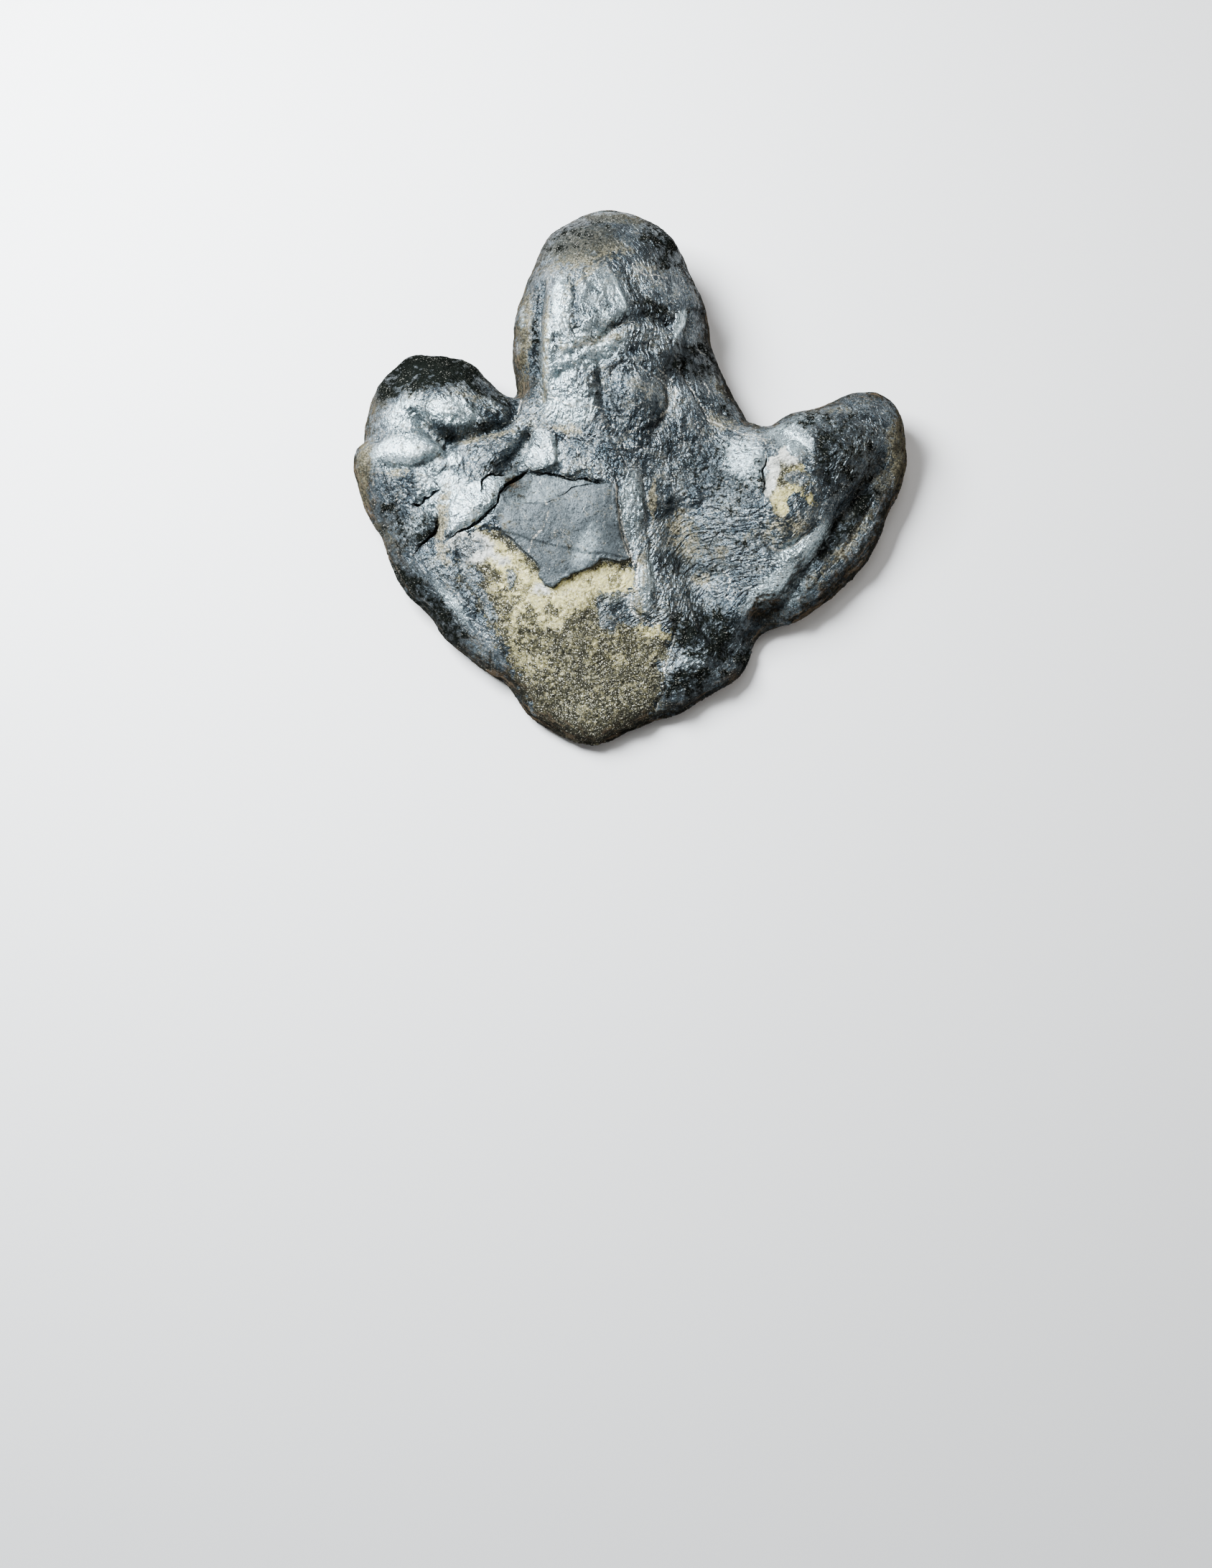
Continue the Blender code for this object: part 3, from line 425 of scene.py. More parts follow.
# Thin tan film over the skin
FILM = {
    "left edge": (-0.330, -0.004, 0.060, 0.014, 86, 0.90),
    "left lobe rim": (-0.304, -0.078, 0.034, 0.012, -50, 0.80),
    "left pad, foot": (-0.280, -0.012, 0.030, 0.005, -8, 0.80),
    "left ledge": (-0.228, -0.064, 0.036, 0.010, 82, 1.00),
    "left toe, root": (-0.214, 0.092, 0.040, 0.010, -25, 0.45),
    "tan band": (-0.178, 0.033, 0.036, 0.007, 12, 0.70),
    "middle toe, border": (-0.130, 0.150, 0.080, 0.010, 88, 0.85),
    "middle toe, ridge": (-0.103, 0.120, 0.058, 0.004, 88, 1.00),
    "brow": (-0.078, 0.184, 0.034, 0.005, 80, 0.75),
    "over the flake": (-0.056, 0.216, 0.030, 0.005, 45, 0.70),
    "middle toe, tip": (-0.050, 0.250, 0.056, 0.024, 12, 0.36),
    "above the band": (-0.050, 0.134, 0.044, 0.005, 15, 0.85),
    "middle toe, right": (0.030, 0.236, 0.030, 0.016, 10, 0.45),
    "below the toe": (-0.074, 0.036, 0.022, 0.007, -10, 0.80),
    "knob": (0.010, 0.078, 0.024, 0.022, 0, 0.30),
    "toe root": (0.112, 0.058, 0.026, 0.012, -30, 0.75),
    "right flank": (0.104, 0.120, 0.050, 0.010, -65, 0.50),
    "tan streak": (0.027, -0.042, 0.030, 0.005, 88, 1.00),
    "strip": (0.012, -0.140, 0.044, 0.009, 86, 0.60),
    "valley head": (0.066, -0.084, 0.044, 0.024, -70, 0.50),
    "outer rim": (0.328, 0.022, 0.056, 0.018, 88, 0.85),
    "outer toe": (0.276, 0.004, 0.040, 0.040, 0, 0.42),
    "below the flake": (0.184, -0.084, 0.034, 0.018, 10, 0.60),
    "between, one": (0.108, -0.106, 0.012, 0.008, 20, 0.90),
    "between, two": (0.086, -0.134, 0.014, 0.010, -30, 0.80),
    "between, three": (0.146, -0.088, 0.014, 0.006, 20, 0.70),
    "outer slope": (0.266, -0.056, 0.018, 0.009, 50, 0.90),
    "outer slope, far": (0.308, -0.012, 0.020, 0.012, 60, 0.90),
    "toe root, outer": (0.240, 0.072, 0.034, 0.008, 0, 0.60),
    "flange": (0.262, -0.090, 0.080, 0.012, 52, 0.60),
    "heel's rim": (-0.020, -0.300, 0.080, 0.020, 5, 0.60),
    "left shoulder": (-0.226, -0.112, 0.024, 0.010, -60, 0.60),
}

# Fresh cream places in the bare sandstone
CREAM = {
    "below the plate": (-0.094, -0.160, 0.070, 0.020, -8, 1.00),
    "right of the plate tip": (-0.032, -0.148, 0.038, 0.022, 5, 1.00),
    "left of the plate": (-0.150, -0.126, 0.040, 0.020, -40, 0.85),
    "middle": (-0.110, -0.186, 0.050, 0.024, 0, 0.52),
    "strip end": (0.032, -0.200, 0.030, 0.010, -10, 0.85),
    "low left": (-0.120, -0.235, 0.050, 0.024, -45, 0.24),
    "low right": (-0.020, -0.225, 0.050, 0.024, 0, 0.20),
    "near the crack": (-0.186, -0.104, 0.022, 0.020, 0, 0.55),
    "heel's foot": (-0.030, -0.285, 0.060, 0.018, 5, 0.08),
    "flake, main": (0.179, -0.050, 0.018, 0.010, -65, 1.00),
    "flake, diagonal": (0.194, -0.036, 0.014, 0.008, 30, 1.00),
    "flake, arm": (0.214, -0.048, 0.012, 0.006, -35, 1.00),
    "flake, arc": (0.203, -0.012, 0.014, 0.005, 10, 0.80),
}

# The palest of them
PALE = {
    "flake, left": (0.168, -0.016, 0.032, 0.010, 85, 1.10),
    "flake, top": (0.186, 0.012, 0.024, 0.014, -60, 1.10),
    "flake, low": (0.164, -0.037, 0.012, 0.006, 80, 0.80),
    "near the crack": (-0.194, -0.104, 0.030, 0.020, -20, 1.00),
    "left of the plate": (-0.160, -0.118, 0.020, 0.010, -40, 0.50),
    "below the plate": (-0.108, -0.158, 0.016, 0.008, 0, 0.70),
}

# Places without fine wrinkles
SMOOTH = {
    "middle flake": (-0.034, 0.196, 0.036, 0.038, 0, 0.45),
    "hollow": (-0.140, 0.010, 0.014, 0.030, -42, 0.80),
    "left pad": (-0.268, 0.010, 0.036, 0.014, 5, 0.60),
    "right of the crack": (-0.100, -0.034, 0.050, 0.016, 0, 0.80),
    "above the crack": (-0.080, 0.006, 0.050, 0.024, 0, 0.50),
    "right flank": (0.088, 0.139, 0.030, 0.076, -65, 0.50),
    "above the flake": (0.196, 0.030, 0.026, 0.024, 20, 0.80),
    "right shoulder": (0.142, 0.002, 0.036, 0.024, -42, 0.70),
    "below the flake": (0.186, -0.078, 0.022, 0.018, 20, 0.60),
    "fold": (-0.216, 0.030, 0.024, 0.010, -30, 0.70),
    "strip": (0.016, -0.142, 0.040, 0.012, 86, 0.60),
    "knob": (0.008, 0.076, 0.030, 0.026, 60, 0.35),
}

# Islands of thin skin left on the bare sandstone: outlines
THIN_SKIN = {
    "right": [(-0.040, -0.154), (-0.026, -0.157), (-0.010, -0.152), (0.002, -0.160),
              (0.003, -0.180), (0.014, -0.190), (0.004, -0.198), (-0.014, -0.194),
              (-0.022, -0.205), (-0.038, -0.200), (-0.040, -0.184), (-0.050, -0.172)],
    "upper left": [(-0.214, -0.092), (-0.196, -0.090), (-0.182, -0.098), (-0.178, -0.108),
                   (-0.190, -0.114), (-0.200, -0.124), (-0.212, -0.120)],
    "far left": [(-0.192, -0.126), (-0.182, -0.130), (-0.176, -0.146), (-0.186, -0.152),
                 (-0.194, -0.142)],
    "nick": [(-0.150, -0.132), (-0.141, -0.130), (-0.136, -0.142), (-0.138, -0.158),
             (-0.147, -0.160), (-0.152, -0.146)],
    "pale flake": [(0.185, -0.021), (0.194, -0.014), (0.203, -0.013), (0.210, -0.016),
                   (0.214, -0.025), (0.209, -0.032), (0.202, -0.038), (0.194, -0.030),
                   (0.185, -0.028)],
    "low left": [(-0.212, -0.130), (-0.196, -0.148), (-0.182, -0.170), (-0.168, -0.196),
                 (-0.160, -0.192), (-0.172, -0.164), (-0.190, -0.136), (-0.204, -0.122)],
}

# Crumpled parts of the skin
CRUMPLED = {
    "wrinkled band": (-0.030, 0.130, 0.085, 0.034, 15, 1.00),
    "brow": (-0.084, 0.180, 0.050, 0.018, 88, 0.60),
    "right shoulder of the toe": (0.036, 0.170, 0.030, 0.040, 0, 0.70),
    "left glossy": (-0.222, 0.062, 0.060, 0.026, -10, 0.85),
    "left toe tip": (-0.245, 0.112, 0.070, 0.030, -5, 0.50),
    "left toe root": (-0.160, 0.070, 0.030, 0.024, -30, 0.70),
    "left lobe": (-0.284, -0.050, 0.034, 0.050, 0, 0.65),
    "below the band": (-0.076, 0.070, 0.036, 0.030, 0, 0.60),
    "lower right pad": (0.182, -0.142, 0.060, 0.036, 38, 0.80),
    "outer toe": (0.262, 0.020, 0.060, 0.060, 0, 0.75),
    "flange": (0.270, -0.100, 0.090, 0.030, 50, 0.60),
    "heel lobe": (0.092, -0.228, 0.050, 0.040, 30, 0.50),
    "valley": (0.080, -0.120, 0.026, 0.070, 0, 0.45),
    "bare heel": (-0.080, -0.220, 0.100, 0.080, 0, 0.30),
}

# Low swellings, whose strength is a height
BULGES = {
    "knob": (0.010, 0.076, 0.020, 0.030, 0, 0.0030),
    "left pad": (-0.268, 0.010, 0.036, 0.014, 5, 0.0010),
    "brow": (-0.086, 0.180, 0.040, 0.008, 88, 0.0018),
    "tan band": (-0.178, 0.032, 0.030, 0.004, 12, 0.0016),
    "left glossy": (-0.222, 0.060, 0.030, 0.008, -8, 0.0016),
}

# Finely ribbed strips
RIBS = {
    "strip": (0.016, -0.142, 0.040, 0.013, 86, 1.00),
    "strip, above": (0.002, -0.066, 0.045, 0.014, 88, 0.55),
    "toe left border": (-0.122, 0.140, 0.085, 0.020, 90, 0.70),
}

# Relief of the whole skin: waves per metre, height
SWELL_GRAIN, SWELL_HEIGHT = 24.0, 0.0013
CRUMPLE_GRAIN, CRUMPLE_SQUEEZE, CRUMPLE_HEIGHT = 66.0, 0.45, 0.0023
FOIL_GRAIN, FOIL_HEIGHT = 125.0, 0.0013
FOLD_GRAIN, FOLD_HEIGHT = 42.0, 0.0020
STREAK_GRAIN, STREAK_STRETCH, STREAK_HEIGHT = 14.0, 12.0, 0.0011
FINE_GRAIN, FINE_HEIGHT = 240.0, 0.00045
RIB_PITCH, RIB_HEIGHT = 0.0042, 0.0007
RIDGE_SHAPE = (0.9, 2.2, 4, 0.95, 2.0)   # dimension, lacunarity, octaves, offset, gain
RIDGE_TOP = 2.2                          # about the height of the ridges as they come
RAGGED = [(48.0, 0.0024), (150.0, 0.0011)]     # waves per metre, sideways reach
CRUMPLE_LEAST, FOIL_LEAST, STREAK_LEAST = 0.22, 0.30, 0.35   # shares outside their own places
PLATE_CALM = 0.75                        # share of the crumpling that the skin plate lacks
PLATE_CALM_EDGE, PLATE_SMOOTH_EDGE = (0.000, 0.010), (0.000, 0.008)   # inside its outline
HOLLOW_SCALE = 0.0035                    # turns the bend of the mesh into a share

# Sides of the stone, each a soft step in the upward or downward part of the normal
UPPER_SIDE = (0.05, 0.50)       # upward: the relief of the skin grows
STEEP_SIDE = (0.30, 0.75)       # either way: the relief of the walls ends
LOWER_SIDE = (0.70, 0.95)       # downward: the relief of the parting face grows
SKIN_SIDE = (0.20, 0.62)        # upward: the finish of the walls ends
PARTING_SIDE = (0.45, 0.80)     # downward: the finish of the parting face grows
RIM_TILT = 0.12                 # vertices whose normal is more level than this make the rim
BAND_TILT = 0.30                # upward: faces above this may get the finer mesh
OFF_FLOOR = (0.002, 0.010)      # heights between which the relief fades in

# Bedding of the side walls
LEDGE_PITCH, LEDGE_DEPTH, LEDGE_WAVER, LEDGE_GRAIN = 0.0062, 0.0016, 0.9, 16.0
WALL_TOP = 0.060
LEDGE_END = (WALL_TOP * 0.6, WALL_TOP)   # heights between which the ledges fade out

# Parting face underneath: waves per metre, depth, and how far its hollows spread
BACK_GRAIN, BACK_RELIEF, BACK_SPREAD = 26.0, 0.0026, 0.15

# Shifts that make three noises of one
SEEDS = [Vector((3.7, 11.2, 5.9)), Vector((27.1, 4.4, 18.3)), Vector((8.8, 31.5, 2.6))]

# Noise of the finish: waves per metre, detail, roughness
CLOUD = (15.0, 6.0, 0.62)
WANDER = (30.0, 3.0, 0.55)
MOTTLE = (55.0, 6.0, 0.68)
GRIT = (190.0, 5.0, 0.70)
GRAIN = (420.0, 3.0, 0.70)
SPARKLE = (640.0, 2.0, 0.60)
STRANDS = (150.0, 4.0, 0.65)
FOIL = (150.0, 3.0, 0.55)
FOIL_DISTORTION = 0.5

# Creased noise of the finish: waves per metre, distortion
FOLDS = (62.0, 0.8)
LONG_FOLDS = (80.0, 0.9)
WRINKLES = (150.0, 0.7)
CRINKLES = (330.0, 0.8)
CREASED_DETAIL, CREASED_ROUGHNESS = 1.5, 0.50

PEBBLES = 330.0            # sandstone grains per metre
PEBBLE_WOBBLE = 0.012      # how far their edges wander
RIM_REACH = 0.030          # how far the painted shade of the walls runs up over the rim
FLOW_SQUEEZE = 0.30        # how much slower the strands change along the rim than across it
SWAY_SQUEEZE = 0.40        # the same for the wrinkles

# Relief too fine for the mesh: height of each noise, summed in this order
FINE_RELIEF = {
    "folds": 0.0044, "long_folds": 0.0062, "wrinkles": 0.0034, "foil": 0.0014,
    "crinkles": 0.0010, "grit": 0.0010, "grain": 0.0005, "sparkle": 0.0002,
    "strands": 0.0040, "pebble_gap": -0.0009,
}

# Cuts of the maps: level where patches begin, level where they are whole, raggedness. The black
# crust with its painted shade is a second cut of the dark map, and the rim's painted shade is one
# of the closeness to it.
CUTS = {
    "plate": (-0.0005, 0.0010, 0.004), "polish": (0.00, 1.05, 0.40), "warm": (0.15, 0.90, 1.0),
    "film": (0.20, 0.90, 1.2), "dark": (0.05, 0.95, 0.9), "crust_and_shade": (0.66, 0.94, 1.2),
    "cream": (0.05, 0.90, 0.9), "pale": (0.15, 0.85, 0.8), "bare": (-0.0010, 0.0020, 0.030),
    "island": (-0.0010, 0.0020, 0.012), "flake": (-0.0006, 0.0012, 0.010),
    "wall": (0.20, 0.85, 0.8), "rim": (0.20, 1.00, 1.0),
}
PATCH_RAGGED, GRIT_RAGGED = 2.4, 1.6     # how far each noise moves such a cut

# Colours of the finish beside those in the settings
STRAND_GREY = (0.22, 0.25, 0.26)
DUST = (0.16, 0.145, 0.095)
# Painted shade in the pits of the fine relief
PIT_SHADE = (0.016, 0.018, 0.019)
DARK_EARTH = (0.020, 0.020, 0.014)
THIN_FILM, THICK_FILM = (0.075, 0.070, 0.046), (0.38, 0.345, 0.225)
# Dark crust, also the painted shade of creases, valleys and sides
DARK_CRUST_AND_SHADE = (0.022, 0.025, 0.026)
PALE_SAND = (0.62, 0.64, 0.60)
SAND_DIRT = (0.050, 0.048, 0.030)
CREAM_GRAIN, WHITE_GRAIN = (0.95, 0.86, 0.46), (0.95, 0.96, 0.92)
DARK_GRAIN = (0.022, 0.022, 0.017)
SAND_GLINT = (0.95, 0.92, 0.76)
# Painted shade of the steep sides and the rim
WALL_SHADE_BLACK = (0.012, 0.012, 0.010)
PARTING_BROWN, PARTING_GREY = (0.170, 0.145, 0.105), (0.105, 0.098, 0.072)
PARTING_PIT = (0.050, 0.046, 0.036)

# Camera and stage
CAMERA_PLACE = (-0.0305, -0.9317, 2.4771)
CAMERA_TILT = 12.54        # degrees from straight down, towards the middle toe
CAMERA_LENS = 48.05
CAMERA_SENSOR = 36.0
CAMERA_CLIP = (0.05, 50.0)
FLOOR_SIZE = 14.0
FLOOR_ROUGHNESS = 0.9
ROOM_COLOUR = (0.93, 0.96, 1.0)
LIGHT_AIM = (0.0, 0.0, 0.05)
LIGHTS = {                 # place, size, colour
    "key": ((-1.20, 0.75, 1.50), 1.1, (0.93, 0.97, 1.0)),
    "top": ((0.1, 1.1, 2.9), 1.3, (1.0, 1.0, 1.0)),
    "fill": ((1.9, 0.4, 1.0), 1.2, (1.0, 0.90, 0.80)),
}


class StoneSettings(bpy.types.PropertyGroup):
    """Sizes and colours of the finished stone."""
    grid: FloatProperty(
        name="Grid", description="Spacing of the sculpted mesh", default=0.0021, min=0.001,
        unit="LENGTH")
    band: FloatProperty(
        name="Fine band", description="Half width of the finer mesh along cracks and plate edges",
        default=0.0042, unit="LENGTH")
    faces: IntProperty(
        name="Triangles", description="Triangles in the finished stone", default=192000,
        min=20000)
    skin_dark: FloatVectorProperty(
        name="Dark skin", description="Carbon-rich skin in its darker parts", subtype="COLOR",
        default=(0.036, 0.049, 0.059), min=0, max=1)
    skin_mid: FloatVectorProperty(
        name="Grey skin", description="Carbon-rich skin in its paler parts", subtype="COLOR",
        default=(0.120, 0.154, 0.178), min=0, max=1)
    plate: FloatVectorProperty(
        name="Plate", description="The smooth plate of skin over the heel", subtype="COLOR",
        default=(0.082, 0.099, 0.108), min=0, max=1)
    # Partly burnished skin, partly a painted highlight
    silver_highlight: FloatVectorProperty(
        name="Polished skin and painted highlight", description="Burnished silver parts of the skin, with painted highlight", subtype="COLOR",
        default=(0.60, 0.75, 0.80), min=0, max=1)
    # Pale mineral, also the colour of the painted glints
    mineral_and_glint: FloatVectorProperty(
        name="Mineral", description="Pale flecks and hairline veins", subtype="COLOR",
        default=(0.62, 0.61, 0.54), min=0, max=1)
    cream: FloatVectorProperty(
        name="Cream sandstone", description="Freshest bare sandstone", subtype="COLOR",
        default=(0.64, 0.58, 0.25), min=0, max=1)
    olive: FloatVectorProperty(
        name="Olive sandstone", description="Weathered bare sandstone", subtype="COLOR",
        default=(0.040, 0.040, 0.029), min=0, max=1)
    tan: FloatVectorProperty(
        name="Tan film", description="Thin film of sandstone over the skin", subtype="COLOR",
        default=(0.074, 0.066, 0.042), min=0, max=1)
    brown: FloatVectorProperty(
        name="Iron stain", description="Brown stain of the bedding and the rims", subtype="COLOR",
        default=(0.075, 0.055, 0.036), min=0, max=1)
    # Black crust; also painted shade in hollows and on walls, and the black inside cracks
    black_crust_and_shade: FloatVectorProperty(
        name="Black crust and painted shade", description="Darkest crust of the tips, and painted shade of the walls and hollows", subtype="COLOR",
        default=(0.004, 0.005, 0.004), min=0, max=1)


class StageSettings(bpy.types.PropertyGroup):
    """Floor, lights and camera."""
    floor_colour: FloatVectorProperty(
        name="Floor", description="Colour of the floor", subtype="COLOR",
        default=(0.90, 0.90, 0.90), min=0, max=1)
    key_power: FloatProperty(
        name="Key light", description="Power of the large light on the left", default=230.0,
        unit="POWER")
    fill_power: FloatProperty(
        name="Fill light", description="Power of the light on the right", default=10.0,
        unit="POWER")
    top_power: FloatProperty(
        name="Top light", description="Power of the light above the toes", default=14.0,
        unit="POWER")
    sky: FloatProperty(
        name="Room light", description="Strength of the light from all round", default=0.20)


# --- Mesh helpers -------------------------------------------------------------------------------

def select_only(item):
    """Leave one object selected and active."""
    bpy.ops.object.select_all(action="DESELECT")
    item.select_set(True)
    bpy.context.view_layer.objects.active = item


def apply_modifier(item, name, kind, **settings):
    """Add one modifier and apply it at once."""
    modifier = item.modifiers.new(name, kind)
    for key, value in settings.items():
        setattr(modifier, key, value)
    select_only(item)
    bpy.ops.object.modifier_apply(modifier=modifier.name)


def vertices_of(item):
    """Vertex places as an array of rows."""
    places = np.empty(len(item.data.vertices) * 3)
    item.data.vertices.foreach_get("co", places)
    return places.reshape(-1, 3)


def normals_of(item):
    """Vertex normals as an array of rows."""
    directions = np.empty(len(item.data.vertices) * 3, dtype=np.float32)
    item.data.vertex_normals.foreach_get("vector", directions)
    return directions.reshape(-1, 3).astype(float)


def put_vertices(item, places):
    """Write vertex places back."""
    item.data.vertices.foreach_set("co", places.ravel())
    item.data.update()


def triangles_of(item):
    """Number of triangles in the mesh."""
    return sum(len(face.vertices) - 2 for face in item.data.polygons)


# --- Fields -------------------------------------------------------------------------------------

def smooth_step(value, low, high):
    """0 below low, 1 above high, and a soft rise between them."""
    share = np.clip((value - low) / (high - low), 0.0, 1.0)
    return share * share * (3 - 2 * share)


def noise_at(places, grain, seed):
    """Smooth noise, about -1 to 1, with so many waves per metre."""
    shift = SEEDS[seed]
    return np.array([noise.noise(Vector(place) * grain + shift) for place in places])


def ridges_at(places, grain, seed):
    """Crisp branching ridges, about 0 to 1."""
    shift = SEEDS[seed]
    raised = [noise.ridged_multi_fractal(Vector(place) * grain + shift, *RIDGE_SHAPE)
              for place in places]
    return np.array(raised) / RIDGE_TOP


def along_path(plan, path, closed=False):
    """Distance from each plan place to a path, and the share of the path passed by then."""
    start = np.asarray(path, float)
    end = np.roll(start, -1, axis=0)
    if not closed:
        start, end = start[:-1], end[:-1]
    lengths = np.linalg.norm(end - start, axis=1)
    passed = np.concatenate([[0.0], np.cumsum(lengths)])
    best = np.full(len(plan), np.inf)
    share = np.zeros(len(plan))
    for index, (here, there) in enumerate(zip(start, end)):
        span = there - here
        along = np.clip(((plan - here) @ span) / (span @ span), 0.0, 1.0)
        gap = plan - here - along[:, None] * span
        distance = np.hypot(gap[:, 0], gap[:, 1])
        closer = distance < best
        best[closer] = distance[closer]
        share[closer] = (passed[index] + along[closer] * lengths[index]) / passed[-1]
    return best, share


def crack_gap(plan, path, half_width):
    """Distance to a crack in half widths, with both of its ends closing."""
    distance, share = along_path(plan, path)
    taper = np.clip(np.minimum(share, 1 - share) / CRACK_TAPER, 0.0, 1.0) ** CRACK_POINT
    return distance / (half_width * np.maximum(taper, CRACK_LEAST))


def signed_distance(plan, path):
    """Distance to a closed path, above zero inside it."""
    x, y = plan[:, 0], plan[:, 1]
    inside = np.zeros(len(plan), bool)
    for (ax, ay), (bx, by) in zip(path, path[1:] + path[:1]):
        spans = (ay > y) != (by > y)
        with np.errstate(divide="ignore", invalid="ignore"):
            cross = ax + (y - ay) * (bx - ax) / (by - ay)
        inside ^= spans & (x < cross)
    distance, _ = along_path(plan, path, closed=True)
    return np.where(inside, distance, -distance)


def oval_map(plan, ovals):
    """Strongest of the soft ovals at each place."""
    strongest = np.zeros(len(plan))
    for x, y, reach_along, reach_across, turn, strength in ovals.values():
        cosine, sine = np.cos(np.radians(turn)), np.sin(np.radians(turn))
        along = (plan[:, 0] - x) * cosine + (plan[:, 1] - y) * sine
        across = (plan[:, 1] - y) * cosine - (plan[:, 0] - x) * sine
        reach = np.hypot(along / reach_along, across / reach_across)
        strongest = np.maximum(strongest, strength * (1 - smooth_step(reach, *OVAL_EDGE)))
    return strongest


def crack_distance(plan):
    """Distance from each plan place to the nearest crack."""
    return np.min([along_path(plan, path)[0] for path, _, _ in CRACKS.values()], axis=0)


def ragged_plan(places):
    """Places seen from above and shifted a little by noise, so that lines there run ragged."""
    plan = places[:, :2].copy()
    for grain, reach in RAGGED:
        plan[:, 0] += reach * noise_at(places, grain, 0)
        plan[:, 1] += reach * noise_at(places, grain, 1)
    return plan


def rim_line(item):
    """Search tree of the places on the stone's widest line, as seen from above."""
    places, directions = vertices_of(item), normals_of(item)
    rim = places[np.abs(directions[:, 2]) < RIM_TILT]
    tree = kdtree.KDTree(len(rim))
    for index, (x, y, _) in enumerate(rim):
        tree.insert((x, y, 0.0), index)
    tree.balance()
    return tree


def rim_distance(places, rim):
    """Distance in plan from each place to the stone's widest line."""
    return np.array([rim.find((x, y, 0.0))[2] for x, y in places[:, :2]])


def hollowness(item, passes=2):
    """How far each vertex lies below its neighbours (above zero) or stands above them, -1 to 1."""
    places, directions = vertices_of(item), normals_of(item)
    ends = np.empty(len(item.data.edges) * 2, dtype=np.int32)
    item.data.edges.foreach_get("vertices", ends)
    first, second = ends.reshape(-1, 2).T
    count = np.bincount(first, minlength=len(places)) + np.bincount(second, minlength=len(places))
    count = np.maximum(count, 1)

    def around(values):
        total = (np.bincount(first, weights=values[second], minlength=len(places))
                 + np.bincount(second, weights=values[first], minlength=len(places)))
        return total / count

    mean = np.column_stack([around(places[:, axis]) for axis in range(3)])
    length = np.linalg.norm(places[first] - places[second], axis=1)
    squares = (np.bincount(first, weights=length ** 2, minlength=len(places))
               + np.bincount(second, weights=length ** 2, minlength=len(places))) / count
    bend = ((mean - places) * directions).sum(axis=1) / np.maximum(squares, 1e-9)
    for _ in range(passes):
        bend = 0.5 * bend + 0.5 * around(bend)
    return np.clip(bend * HOLLOW_SCALE, -1.0, 1.0)


# --- The stone ----------------------------------------------------------------------------------

def copy_of_solid():
    """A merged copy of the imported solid, as an object of its own."""
    item = bpy.data.objects.new(PIECE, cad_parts[CAD_NODE].data.copy())
    bpy.context.scene.collection.objects.link(item)
    item.data.materials.clear()
    select_only(item)
    bpy.ops.object.mode_set(mode="EDIT")
    bpy.ops.mesh.select_all(action="SELECT")
    bpy.ops.mesh.remove_doubles(threshold=0.00001)
    bpy.ops.mesh.normals_make_consistent(inside=False)
    bpy.ops.object.mode_set(mode="OBJECT")
    return item


def refine_grid(item, settings):
    """Even fine mesh, with finer bands along cracks and plate edges."""
    apply_modifier(item, "Fine grid", "REMESH", mode="VOXEL", voxel_size=settings.grid)
    apply_modifier(item, "Soften facets", "SMOOTH", factor=0.5, iterations=9)
    cut_fine_bands(item, settings.band, [path for path, _, _ in STEPS.values()])
    cut_fine_bands(item, settings.band * 0.5, [])


def cut_fine_bands(item, reach, closed_paths):
    """Subdivide the faces of the upper side that lie near cracks, and near plate edges if asked."""
    mesh = item.data
    centres = np.empty(len(mesh.polygons) * 3)
    mesh.polygons.foreach_get("center", centres)
    normals = np.empty(len(mesh.polygons) * 3)
    mesh.polygons.foreach_get("normal", normals)
    plan = ragged_plan(centres.reshape(-1, 3))
    upward = normals.reshape(-1, 3)[:, 2] > BAND_TILT
    near = crack_distance(plan)
    for path in closed_paths:
        near = np.minimum(near, along_path(plan, path, closed=True)[0])
    mesh.polygons.foreach_set("select", (near < reach) & upward)
    mesh.vertices.foreach_set("select", np.zeros(len(mesh.vertices), bool))
    mesh.edges.foreach_set("select", np.zeros(len(mesh.edges), bool))
    select_only(item)
    bpy.ops.object.mode_set(mode="EDIT")
    bpy.ops.mesh.select_mode(type="FACE")
    bpy.ops.mesh.subdivide(number_cuts=1)
    bpy.ops.mesh.select_all(action="SELECT")
    bpy.ops.mesh.quads_convert_to_tris()
    bpy.ops.object.mode_set(mode="OBJECT")


